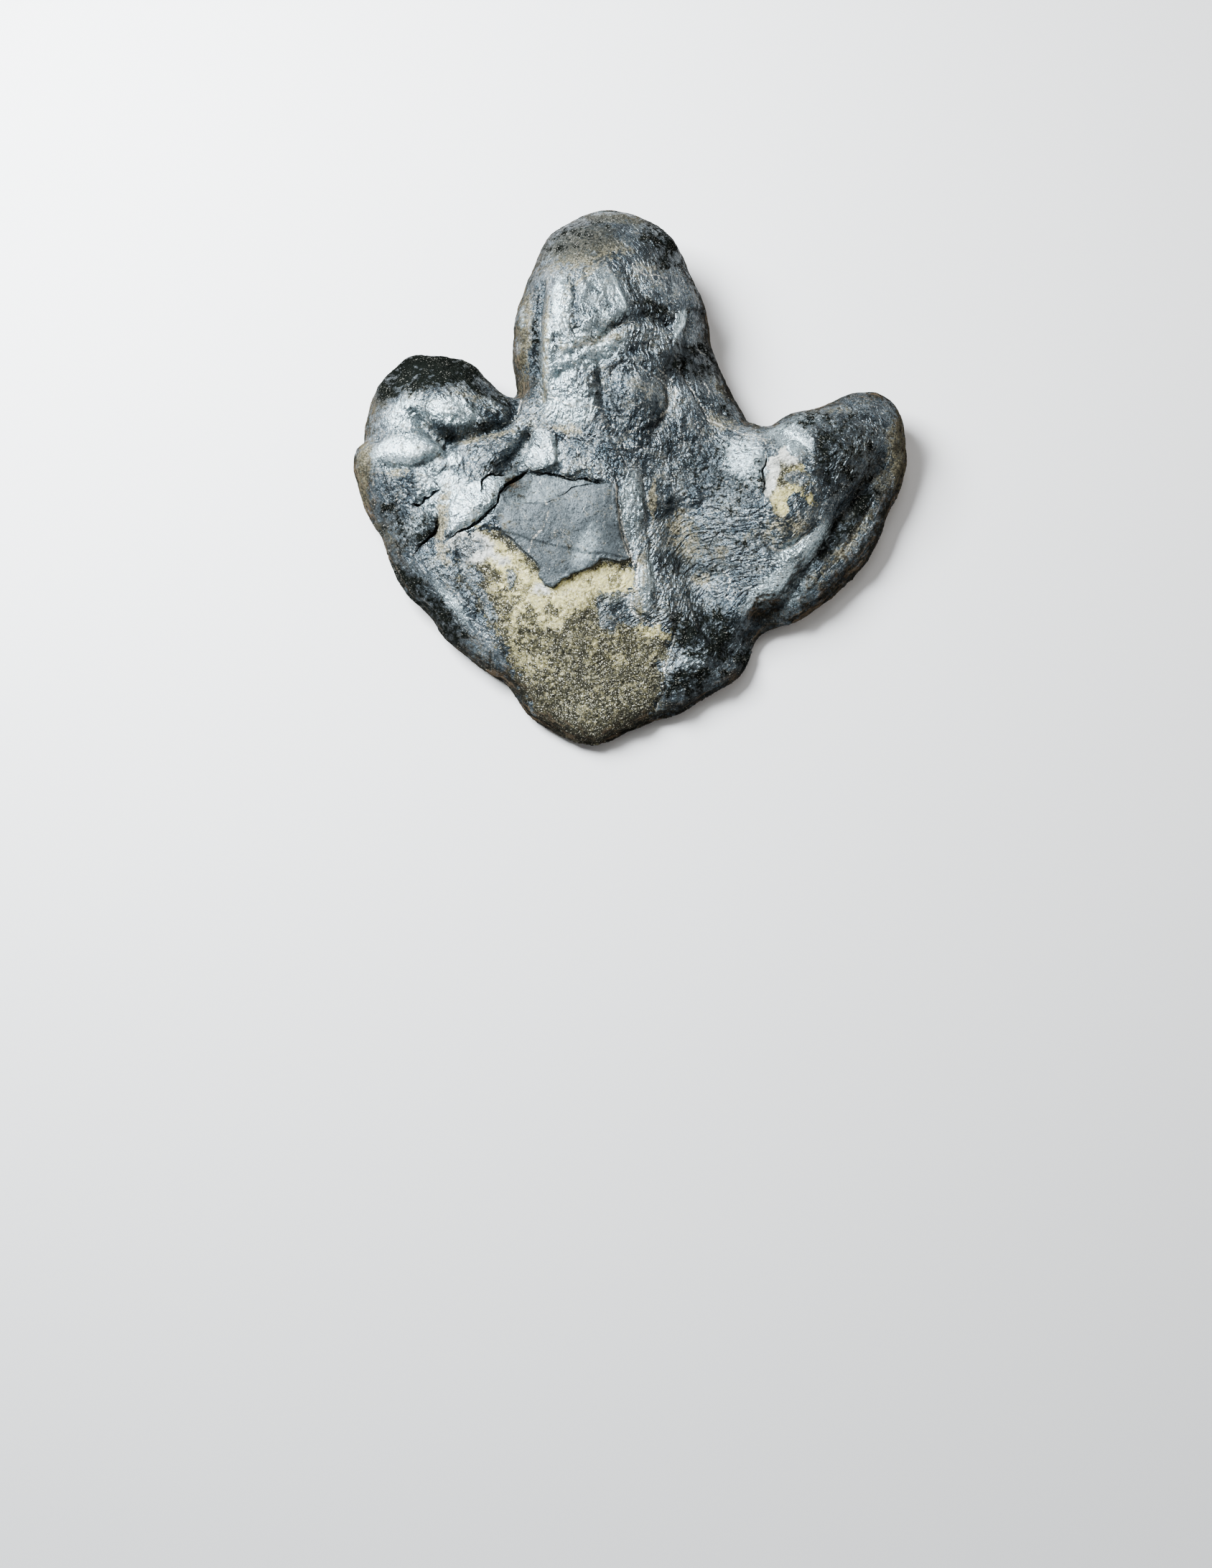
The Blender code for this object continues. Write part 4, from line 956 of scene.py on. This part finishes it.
def carve(item, rim_tree):
    """Work the relief of the skin, the walls and the back into the mesh."""
    places, directions = vertices_of(item), normals_of(item)
    plan = ragged_plan(places)
    up = smooth_step(directions[:, 2], *UPPER_SIDE)
    wall = 1 - smooth_step(np.abs(directions[:, 2]), *STEEP_SIDE)
    off_floor = smooth_step(places[:, 2], *OFF_FLOOR)

    height = np.zeros(len(places))
    for path, half_width, depth in CRACKS.values():
        gap = crack_gap(plan, path, half_width)
        height -= depth * np.clip(CRACK_LIP - gap, 0.0, 1.0) ** CRACK_FLANK
    for path, half_width, depth, power in CREASES.values():
        gap, _ = along_path(plan, path)
        height -= depth * np.exp(-(gap / half_width) ** power)
    for path, step, edge in STEPS.values():
        height += step * smooth_step(signed_distance(plan, path), -edge, edge)
    height *= up

    crumpled = CRUMPLE_LEAST + oval_map(plan, CRUMPLED)
    crumpled *= 1 - PLATE_CALM * smooth_step(signed_distance(plan, SKIN_PLATE), *PLATE_CALM_EDGE)
    rim = rim_distance(places, rim_tree)
    along_rim = np.column_stack([places[:, 0], places[:, 1], (rim + places[:, 2]) * STREAK_STRETCH])
    flow = np.column_stack([places[:, 0] * CRUMPLE_SQUEEZE, places[:, 1] * CRUMPLE_SQUEEZE,
                            rim + places[:, 2]])
    ribs = np.cos(plan[:, 0] / RIB_PITCH * 2 * np.pi) * oval_map(plan, RIBS)
    height += SWELL_HEIGHT * noise_at(places, SWELL_GRAIN, 1)
    height += CRUMPLE_HEIGHT * (ridges_at(flow, CRUMPLE_GRAIN, 0) - 0.5) * crumpled
    height += FOIL_HEIGHT * (ridges_at(places, FOIL_GRAIN, 2) - 0.5) * (FOIL_LEAST + crumpled)
    height += STREAK_HEIGHT * noise_at(along_rim, STREAK_GRAIN, 1) * (STREAK_LEAST + wall)
    height -= FOLD_HEIGHT * np.abs(noise_at(places, FOLD_GRAIN, 2)) * crumpled
    height += FINE_HEIGHT * noise_at(places, FINE_GRAIN, 2)
    height += oval_map(plan, BULGES)
    height += RIB_HEIGHT * ribs * up
    places += directions * (height * off_floor)[:, None]

    level = np.column_stack([places[:, 0], places[:, 1], np.zeros(len(places))])
    phase = places[:, 2] / LEDGE_PITCH + LEDGE_WAVER * noise_at(level, LEDGE_GRAIN, 0)
    step = np.abs((phase % 1.0) - 0.5) * 2 - 0.5
    low = 1 - smooth_step(places[:, 2], *LEDGE_END)
    places[:, :2] += directions[:, :2] * (LEDGE_DEPTH * step * wall * low * off_floor)[:, None]

    under = smooth_step(-directions[:, 2], *LOWER_SIDE)
    hollow = np.clip(noise_at(places, BACK_GRAIN, 2) + BACK_SPREAD, 0.0, None)
    places[:, 2] += BACK_RELIEF * hollow * under
    put_vertices(item, places)


def thin_out(item, settings):
    """Collapse the flattest faces, down to the wanted number of triangles."""
    apply_modifier(item, "Thin out", "DECIMATE", ratio=settings.faces / triangles_of(item),
                   use_collapse_triangulate=True)


def fit_into_solid(item):
    """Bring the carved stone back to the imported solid's own box."""
    places = vertices_of(item)
    low, high = places.min(axis=0), places.max(axis=0)
    target_low, target_high = np.array(CAD_LOW), np.array(CAD_HIGH)
    places = target_low + (places - low) / (high - low) * (target_high - target_low)
    put_vertices(item, places)


def store_map(item, name, values):
    """Keep one number per vertex for the finish to read."""
    layer = item.data.attributes.new(name, "FLOAT", "POINT")
    layer.data.foreach_set("value", np.ascontiguousarray(values, dtype=np.float32))


def draw_maps(item, rim_tree):
    """Where the skin is flaked, polished (with a painted highlight), stained, dark, filmed, veined,
    cracked or crumpled, and where shade is painted: in the creases and hollows, on the sides and
    round the rim.
    """
    places, directions = vertices_of(item), normals_of(item)
    plan = ragged_plan(places)
    for name, path in (("bare", BARE_HEEL), ("plate", SKIN_PLATE), ("flake", PALE_FLAKE)):
        store_map(item, name, signed_distance(plan, path))
    for name, ovals in (("dark", DARK_AND_SHADED_PARTS), ("warm", WARM), ("film", FILM), ("cream", CREAM),
                        ("pale", PALE), ("crumple", CRUMPLED)):
        store_map(item, name, oval_map(plan, ovals))

    cracks = [crack_gap(plan, path, half_width) for path, half_width, _ in CRACKS.values()]
    store_map(item, "crack", np.minimum(np.min(cracks, axis=0) / CRACK_REACH, 1.0))
    veins = [along_path(plan, path)[0] for path in VEINS.values()]
    store_map(item, "vein", np.min(veins, axis=0))
    islands = [signed_distance(plan, path) for path in THIN_SKIN.values()]
    store_map(item, "island", np.max(islands, axis=0))

    polish = oval_map(plan, POLISH_AND_HIGHLIGHT)
    for name, strength in POLISHED_PLATES_WITH_HIGHLIGHT.items():
        inside = smooth_step(signed_distance(plan, STEPS[name][0]), *PLATE_SHINE)
        polish = np.maximum(polish, strength * inside)
    store_map(item, "polish", polish)
    on_plate = smooth_step(signed_distance(plan, SKIN_PLATE), *PLATE_SMOOTH_EDGE)
    store_map(item, "smooth", np.maximum(oval_map(plan, SMOOTH), on_plate))
    # Steep sides, which the finish paints with shade
    store_map(item, "wall", 1 - smooth_step(directions[:, 2], *SKIN_SIDE))
    store_map(item, "under", smooth_step(-directions[:, 2], *PARTING_SIDE))
    store_map(item, "rim", rim_distance(places, rim_tree))
    # How deep each place lies; the finish paints the hollows with shade
    store_map(item, "hollow", hollowness(item))


# --- Finish -------------------------------------------------------------------------------------

def add_node(tree, kind, inputs=None, **settings):
    """A node with its settings, its inputs set or linked."""
    item = tree.nodes.new(kind)
    for key, value in settings.items():
        setattr(item, key, value)
    for key, value in (inputs or {}).items():
        if isinstance(value, bpy.types.NodeSocket):
            tree.links.new(value, item.inputs[key])
        else:
            item.inputs[key].default_value = value
    return item


def calculate(tree, operation, first, second=0.0, clamp=False):
    """One Math node."""
    return add_node(tree, "ShaderNodeMath", {0: first, 1: second},
                    operation=operation, use_clamp=clamp).outputs[0]


def plus(tree, first, second, clamp=False):
    """Sum of two values."""
    return calculate(tree, "ADD", first, second, clamp)


def minus(tree, first, second, clamp=False):
    """What is left of the first value when the second is taken away."""
    return calculate(tree, "SUBTRACT", first, second, clamp)


def times(tree, first, second):
    """Product of two values."""
    return calculate(tree, "MULTIPLY", first, second)


def largest(tree, first, *others):
    """Largest of the values."""
    for other in others:
        first = calculate(tree, "MAXIMUM", first, other)
    return first


def without(tree, share, other):
    """A share where another one leaves room for it."""
    return times(tree, share, minus(tree, 1.0, other, clamp=True))


def between(tree, value, low, high, to_low=0.0, to_high=1.0):
    """A soft step of a value from one range to another."""
    return add_node(
        tree, "ShaderNodeMapRange",
        {"Value": value, "From Min": low, "From Max": high, "To Min": to_low, "To Max": to_high},
        interpolation_type="SMOOTHSTEP").outputs["Result"]


def blend(tree, share, first, second):
    """Two colours mixed by a share; what isn't a socket is a plain linear colour."""
    mix = add_node(tree, "ShaderNodeMix", data_type="RGBA", clamp_factor=True)
    for socket, value in ((mix.inputs[0], share), (mix.inputs[6], first), (mix.inputs[7], second)):
        if isinstance(value, bpy.types.NodeSocket):
            tree.links.new(value, socket)
        else:
            socket.default_value = (*value, 1.0)
    return mix.outputs[2]


def speckle(tree, vector, scale, detail, roughness, kind="FBM", distortion=0.0):
    """A noise texture of so many waves per metre: about 0.40 to 0.60, or 0 to 0.25 if ridged."""
    return add_node(
        tree, "ShaderNodeTexNoise",
        {"Vector": vector, "Scale": scale, "Detail": detail, "Roughness": roughness,
         "Distortion": distortion},
        noise_type=kind).outputs[0]


def folded(tree, texture):
    """Noise folded about its middle, which leaves sharp creases between even slopes."""
    return calculate(tree, "ABSOLUTE", minus(tree, texture, 0.5))


def creased(tree, vector, scale, distortion):
    """Folded noise of so many waves per metre."""
    return folded(tree, speckle(tree, vector, scale, CREASED_DETAIL, CREASED_ROUGHNESS,
                                distortion=distortion))


def read_map(tree, name):
    """One of the stone's own maps."""
    return add_node(tree, "ShaderNodeAttribute", attribute_name=name).outputs["Fac"]


class Grain:
    """The places and noise patterns that the parts of the finish share."""

    def __init__(self, tree):
        self.where = add_node(tree, "ShaderNodeTexCoord").outputs["Object"]
        place = add_node(tree, "ShaderNodeSeparateXYZ", {0: self.where})
        self.level = place.outputs["Z"]
        across = plus(tree, read_map(tree, "rim"), self.level)
        flow, sway = [
            add_node(tree, "ShaderNodeCombineXYZ",
                     {0: times(tree, place.outputs["X"], squeeze),
                      1: times(tree, place.outputs["Y"], squeeze), 2: across}).outputs[0]
            for squeeze in (FLOW_SQUEEZE, SWAY_SQUEEZE)]
        self.cloud = speckle(tree, self.where, *CLOUD)
        self.mottle = speckle(tree, self.where, *MOTTLE)
        self.grit = speckle(tree, self.where, *GRIT)
        self.grain = speckle(tree, self.where, *GRAIN)
        self.sparkle = speckle(tree, self.where, *SPARKLE)
        self.strands = speckle(tree, flow, *STRANDS)
        self.foil = speckle(tree, self.where, *FOIL, "RIDGED_MULTIFRACTAL", FOIL_DISTORTION)
        self.folds = creased(tree, self.where, *FOLDS)
        self.long_folds = creased(tree, sway, *LONG_FOLDS)
        self.wrinkles = creased(tree, sway, *WRINKLES)
        self.crinkles = creased(tree, self.where, *CRINKLES)
        shift = add_node(tree, "ShaderNodeCombineXYZ",
                         {0: times(tree, self.grit, PEBBLE_WOBBLE),
                          1: times(tree, self.grain, PEBBLE_WOBBLE)})
        wobble = add_node(tree, "ShaderNodeVectorMath", {0: self.where, 1: shift.outputs[0]})
        cells = add_node(tree, "ShaderNodeTexVoronoi",
                         {"Vector": wobble.outputs[0], "Scale": PEBBLES})
        shades = add_node(tree, "ShaderNodeSeparateColor", {0: cells.outputs["Color"]})
        self.pebbles = shades.outputs[0]
        self.pebble_gap = cells.outputs["Distance"]


def broken(tree, value, grain, low, high, ragged):
    """A soft map cut at a level, its edge broken into patches, then into grit."""
    patches = times(tree, minus(tree, grain.mottle, 0.5), PATCH_RAGGED * ragged)
    grit = times(tree, minus(tree, grain.grit, 0.5), GRIT_RAGGED * ragged)
    return between(tree, plus(tree, value, plus(tree, patches, grit)), low, high)


def cut_map(tree, name, grain, cut=None):
    """One of the stone's own maps, by its own cut or by another one."""
    return broken(tree, read_map(tree, name), grain, *CUTS[cut or name])


def flecks_and_glints_on_skin(tree, grain, masks):
    """Share of pale flecks in the skin, partly mineral and partly painted glints: clustered, and
    few over earth, dark parts and plate.
    """
    flecks = largest(tree, between(tree, grain.sparkle, 0.595, 0.645),
                     between(tree, grain.grain, 0.615, 0.66))
    flecks = times(tree, flecks, between(tree, grain.mottle, 0.46, 0.57, 0.12, 0.90))
    flecks = without(tree, flecks, times(tree, masks["warm"], 0.60))
    return without(tree, flecks, largest(tree, times(tree, masks["dark"], 0.75),
                                         times(tree, masks["plate"], 0.80)))


def hairlines(tree, grain):
    """Share of the stray mineral hairlines that run all over the skin."""
    wander = folded(tree, speckle(tree, grain.where, *WANDER))
    return times(tree, between(tree, wander, 0.0008, 0.0036, 0.80, 0.0),
                 between(tree, grain.grit, 0.48, 0.55))


def veins(tree, grain):
    """Share of mineral in the listed veins, whose edges wander a little."""
    vein = plus(tree, read_map(tree, "vein"), times(tree, minus(tree, grain.grain, 0.5), 0.0060))
    return between(tree, vein, 0.0003, 0.0012, 0.80, 0.0)


def skin_colour(tree, settings, grain, masks):
    """Colour of the carbon-rich skin, from its tones, polish with its painted highlight, painted
    shade in its fine pits, stains, flecks with painted glints, and veins.
    """
    tone = plus(tree, times(tree, grain.mottle, 0.5), times(tree, grain.cloud, 0.5))
    colour = blend(tree, between(tree, tone, 0.44, 0.57), settings.skin_dark, settings.skin_mid)
    colour = blend(tree, between(tree, grain.strands, 0.50, 0.62, 0.0, 0.35), colour, STRAND_GREY)
    dust = times(tree, between(tree, grain.cloud, 0.50, 0.60),
                 between(tree, grain.grit, 0.47, 0.56))
    colour = blend(tree, times(tree, dust, 0.45), colour, DUST)
    colour = blend(tree, masks["plate"], colour, settings.plate)
    # Painted highlight: the burnished parts turn silver
    colour = blend(tree, times(tree, masks["polish"], 0.92), colour, settings.silver_highlight)
    # Painted shade: darker where the fine relief dips
    colour = blend(tree, between(tree, grain.grain, 0.455, 0.39, 0.0, 0.80), colour, PIT_SHADE)
    earth = blend(tree, between(tree, grain.grain, 0.40, 0.60), DARK_EARTH, settings.tan)
    colour = blend(tree, times(tree, masks["warm"], 0.90), colour, earth)
    film = blend(tree, between(tree, grain.grain, 0.42, 0.60), THIN_FILM, THICK_FILM)
    colour = blend(tree, masks["film"], colour, film)
    for share in (flecks_and_glints_on_skin(tree, grain, masks), hairlines(tree, grain), veins(tree, grain)):
        colour = blend(tree, share, colour, settings.mineral_and_glint)
    return colour


def sandstone_colour(tree, settings, grain):
    """Colour of bare sandstone: cream where fresh, olive and speckled dark where weathered."""
    fresh = cut_map(tree, "cream", grain)
    pale = cut_map(tree, "pale", grain)
    colour = blend(tree, fresh, settings.olive, settings.cream)
    colour = blend(tree, pale, colour, PALE_SAND)
    dirt = between(tree, grain.mottle, 0.52, 0.44, 0.0, 0.75)
    colour = blend(tree, without(tree, dirt, pale), colour, SAND_DIRT)
    light = between(tree, largest(tree, fresh, pale), 0.0, 1.0, 0.22, 0.95)
    bright = times(tree, between(tree, grain.pebbles, 0.55, 0.95), light)
    bright = times(tree, bright, between(tree, grain.grit, 0.45, 0.55))
    colour = blend(tree, bright, colour, blend(tree, pale, CREAM_GRAIN, WHITE_GRAIN))
    dark_share = between(tree, light, 0.22, 0.95, 0.54, 0.12)
    grains = between(tree, minus(tree, dark_share, grain.pebbles), 0.0, 0.12)
    grains = times(tree, grains, between(tree, grain.grain, 0.54, 0.46, 0.25, 0.92))
    colour = blend(tree, grains, colour, DARK_GRAIN)
    return blend(tree, between(tree, grain.sparkle, 0.59, 0.66, 0.0, 0.80), colour, SAND_GLINT)


def wall_colour(tree, settings, grain, warm):
    """Colour of the steep sides: near black painted shade, with brown streaks along the bedding."""
    colour = blend(tree, between(tree, grain.strands, 0.50, 0.62), WALL_SHADE_BLACK, settings.brown)
    flecks = between(tree, grain.sparkle, 0.59, 0.65, 0.0, 0.75)
    earth = times(tree, between(tree, grain.grit, 0.48, 0.56), times(tree, warm, 0.9))
    return blend(tree, largest(tree, flecks, earth), colour, settings.tan)


def parting_colour(tree, grain):
    """Colour of the rough face underneath."""
    colour = blend(tree, between(tree, grain.mottle, 0.44, 0.56), PARTING_BROWN, PARTING_GREY)
    return blend(tree, between(tree, grain.grain, 0.52, 0.42, 0.0, 0.85), colour, PARTING_PIT)


def relief(tree, grain, wall, bare):
    """Height of the relief that is too fine for the mesh, in metres."""
    free = between(tree, read_map(tree, "smooth"), 0.0, 1.0, 1.0, 0.15)
    loose = times(tree, free, between(tree, read_map(tree, "crumple"), 0.0, 0.9, 0.85, 1.35))
    shares = {"folds": loose, "long_folds": loose, "wrinkles": free, "foil": free,
              "crinkles": free, "strands": wall, "pebble_gap": bare}
    total = 0.0
    for name, height in FINE_RELIEF.items():
        texture = getattr(grain, name)
        if name in shares:
            texture = times(tree, texture, shares[name])
        total = plus(tree, times(tree, texture, height), total)
    return total


def stone_masks(tree, grain):
    """Shares of the parts of the finish, from the stone's own maps."""
    low_wall = times(tree, read_map(tree, "wall"), between(tree, grain.level, 0.080, 0.040))
    upper = minus(tree, 1.0, times(tree, low_wall, 0.85))
    masks = {name: cut_map(tree, name, grain) for name in ("plate", "polish", "warm")}
    masks["film"] = times(tree, cut_map(tree, "film", grain),
                          between(tree, grain.grit, 0.44, 0.54, 0.25, 0.90))
    # The dark map is black crust together with painted shade in creases, valleys and on the sides;
    # its crust cut is the blackest of both
    masks["dark"] = times(tree, cut_map(tree, "dark", grain), upper)
    masks["crust_and_shade"] = times(tree, cut_map(tree, "dark", grain, cut="crust_and_shade"), upper)

    thin_skin = times(tree, cut_map(tree, "island", grain), 0.92)
    bare = without(tree, cut_map(tree, "bare", grain), masks["plate"])
    masks["bare"] = without(tree, largest(tree, bare, cut_map(tree, "flake", grain)), thin_skin)
    # Painted shade: near black on the steep sides and round the rim
    wall = times(tree, cut_map(tree, "wall", grain),
                 between(tree, grain.level, 0.030, 0.095, 0.96, 0.55))
    edge = minus(tree, 1.0, times(tree, read_map(tree, "rim"), 1 / RIM_REACH))
    masks["wall"] = largest(tree, wall, broken(tree, edge, grain, *CUTS["rim"]))
    masks["under"] = read_map(tree, "under")
    masks["crack"] = without(tree, between(tree, read_map(tree, "crack"), 0.10, 0.34, 0.96, 0.0),
                             masks["under"])
    return masks


def glints_on_stone(tree, grain, masks):
    """Share of the painted glints: bright specks over the dark parts, fewer in the black crust and
    its painted shade.
    """
    glints = times(tree, between(tree, grain.sparkle, 0.615, 0.665, 0.0, 0.70),
                   between(tree, grain.mottle, 0.50, 0.58, 0.02, 1.0))
    glints = times(tree, glints, between(tree, masks["dark"], 0.2, 0.7))
    return without(tree, glints, times(tree, masks["crust_and_shade"], 0.55))


def stone_colour(tree, settings, grain, masks):
    """Colour of the whole stone: skin, bare sandstone, walls with painted shade, black crust with
    painted shade, painted glints and parting face, and painted shade in the hollows.
    """
    # Painted shade: black where the mesh lies below its neighbours
    hollow = between(tree, read_map(tree, "hollow"), 0.06, 0.45, 0.0, 0.75)
    skin = blend(tree, hollow, skin_colour(tree, settings, grain, masks), settings.black_crust_and_shade)
    layers = (
        (masks["bare"], sandstone_colour(tree, settings, grain)),
        (masks["wall"], wall_colour(tree, settings, grain, masks["warm"])),
        (times(tree, masks["dark"], 0.94), DARK_CRUST_AND_SHADE),
        (times(tree, masks["crust_and_shade"], 0.97), settings.black_crust_and_shade),
        (glints_on_stone(tree, grain, masks), settings.mineral_and_glint),
        (masks["under"], parting_colour(tree, grain)),
        (masks["crack"], settings.black_crust_and_shade),
    )
    colour = skin
    for share, layer in layers:
        colour = blend(tree, share, colour, layer)
    return colour


def stone_finish(settings):
    """The one finish of the stone: colour, graphite shine and fine relief."""
    material = bpy.data.materials.new("carbon skin over sandstone")
    material.use_nodes = True
    tree = material.node_tree
    shader = tree.nodes["Principled BSDF"]
    grain = Grain(tree)
    masks = stone_masks(tree, grain)
    tree.links.new(stone_colour(tree, settings, grain, masks), shader.inputs["Base Color"])

    # The skin is mostly graphite; bare stone, walls, black crust with its painted shade, earth and
    # film are matt
    matt = largest(tree, masks["under"], masks["crust_and_shade"], *[
        times(tree, masks[name], share)
        for name, share in (("bare", 0.75), ("wall", 0.95), ("warm", 0.80), ("film", 0.85))])
    graphite = without(tree, between(tree, masks["plate"], 0.0, 1.0, 0.85, 0.45), matt)
    tree.links.new(graphite, shader.inputs["Metallic"])
    rough = between(tree, grain.mottle, 0.42, 0.58, 0.20, 0.32)
    rough = plus(tree, rough, times(tree, matt, 0.34))
    rough = plus(tree, rough, times(tree, masks["plate"], 0.14), clamp=True)
    tree.links.new(rough, shader.inputs["Roughness"])
    shader.inputs["Specular IOR Level"].default_value = 0.0
    bump = add_node(tree, "ShaderNodeBump",
                    {"Height": relief(tree, grain, masks["wall"], masks["bare"]),
                     "Strength": 1.0, "Distance": 1.0})
    tree.links.new(bump.outputs["Normal"], shader.inputs["Normal"])
    return material


class FOOTPRINT_OT_stone(bpy.types.Operator):
    """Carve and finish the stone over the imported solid"""
    bl_idname = "footprint.stone"
    bl_label = "Stone"

    def execute(self, context):
        settings = context.scene.footprint_stone
        item = copy_of_solid()
        refine_grid(item, settings)
        rim_tree = rim_line(item)
        carve(item, rim_tree)
        thin_out(item, settings)
        fit_into_solid(item)
        draw_maps(item, rim_tree)
        select_only(item)
        bpy.ops.object.shade_smooth()
        item.data.materials.append(stone_finish(settings))
        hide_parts(CAD_NODE)
        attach(item, "root")
        return {"FINISHED"}


# --- Stage --------------------------------------------------------------------------------------

def area_light(name, place, aim, size, power, colour):
    """A square soft light pointed at a place."""
    data = bpy.data.lights.new(name, "AREA")
    data.shape = "SQUARE"
    data.size = size
    data.energy = power
    data.color = colour
    lamp = bpy.data.objects.new(name, data)
    bpy.context.scene.collection.objects.link(lamp)
    lamp.location = place
    lamp.rotation_euler = (Vector(aim) - Vector(place)).to_track_quat("-Z", "Y").to_euler()


def pale_floor(settings):
    """A large plain floor under the stone."""
    bpy.ops.object.select_all(action="DESELECT")
    bpy.ops.mesh.primitive_grid_add(x_subdivisions=8, y_subdivisions=8, size=FLOOR_SIZE)
    floor = bpy.context.active_object
    floor.name = "floor"
    material = bpy.data.materials.new("plain floor")
    material.use_nodes = True
    shader = material.node_tree.nodes["Principled BSDF"]
    shader.inputs["Base Color"].default_value = (*settings.floor_colour, 1.0)
    shader.inputs["Roughness"].default_value = FLOOR_ROUGHNESS
    floor.data.materials.append(material)


def room_light(settings):
    """Even light from all round."""
    world = bpy.data.worlds.new("room")
    world.use_nodes = True
    background = world.node_tree.nodes["Background"]
    background.inputs["Color"].default_value = (*ROOM_COLOUR, 1.0)
    background.inputs["Strength"].default_value = settings.sky
    bpy.context.scene.world = world


def place_camera():
    """The camera above the heel, looking down at the stone."""
    data = bpy.data.cameras.new("camera")
    data.sensor_width = CAMERA_SENSOR
    data.lens = CAMERA_LENS
    data.clip_start, data.clip_end = CAMERA_CLIP
    camera = bpy.data.objects.new("camera", data)
    bpy.context.scene.collection.objects.link(camera)
    camera.location = CAMERA_PLACE
    camera.rotation_euler = (np.radians(CAMERA_TILT), 0.0, 0.0)
    bpy.context.scene.camera = camera


class FOOTPRINT_OT_stage(bpy.types.Operator):
    """Add the floor, the lights and the camera"""
    bl_idname = "footprint.stage"
    bl_label = "Stage"

    def execute(self, context):
        settings = context.scene.footprint_stage
        pale_floor(settings)
        room_light(settings)
        for name, (place, size, colour) in LIGHTS.items():
            power = getattr(settings, name + "_power")
            area_light(name + " light", place, LIGHT_AIM, size, power, colour)
        place_camera()
        return {"FINISHED"}


class FOOTPRINT_PT_panel(bpy.types.Panel):
    """Sidebar panel that lists the stone and its stage"""
    bl_idname = "FOOTPRINT_PT_panel"
    bl_label = "Dinosaur footprint"
    bl_space_type = "VIEW_3D"
    bl_region_type = "UI"
    bl_category = "Footprint"

    def draw(self, context):
        for settings, operator in ((context.scene.footprint_stone, "footprint.stone"),
                                   (context.scene.footprint_stage, "footprint.stage")):
            box = self.layout.box()
            for name in settings.__annotations__:
                box.prop(settings, name)
            box.operator(operator)


CLASSES = (StoneSettings, StageSettings, FOOTPRINT_OT_stone, FOOTPRINT_OT_stage,
           FOOTPRINT_PT_panel)


def register():
    for item in CLASSES:
        bpy.utils.register_class(item)
    bpy.types.Scene.footprint_stone = PointerProperty(type=StoneSettings)
    bpy.types.Scene.footprint_stage = PointerProperty(type=StageSettings)


def unregister():
    del bpy.types.Scene.footprint_stage
    del bpy.types.Scene.footprint_stone
    for item in reversed(CLASSES):
        bpy.utils.unregister_class(item)


def main():
    """Build everything in order."""
    register()
    bpy.ops.footprint.stone()
    bpy.ops.footprint.stage()


if __name__ == "__main__":
    main()
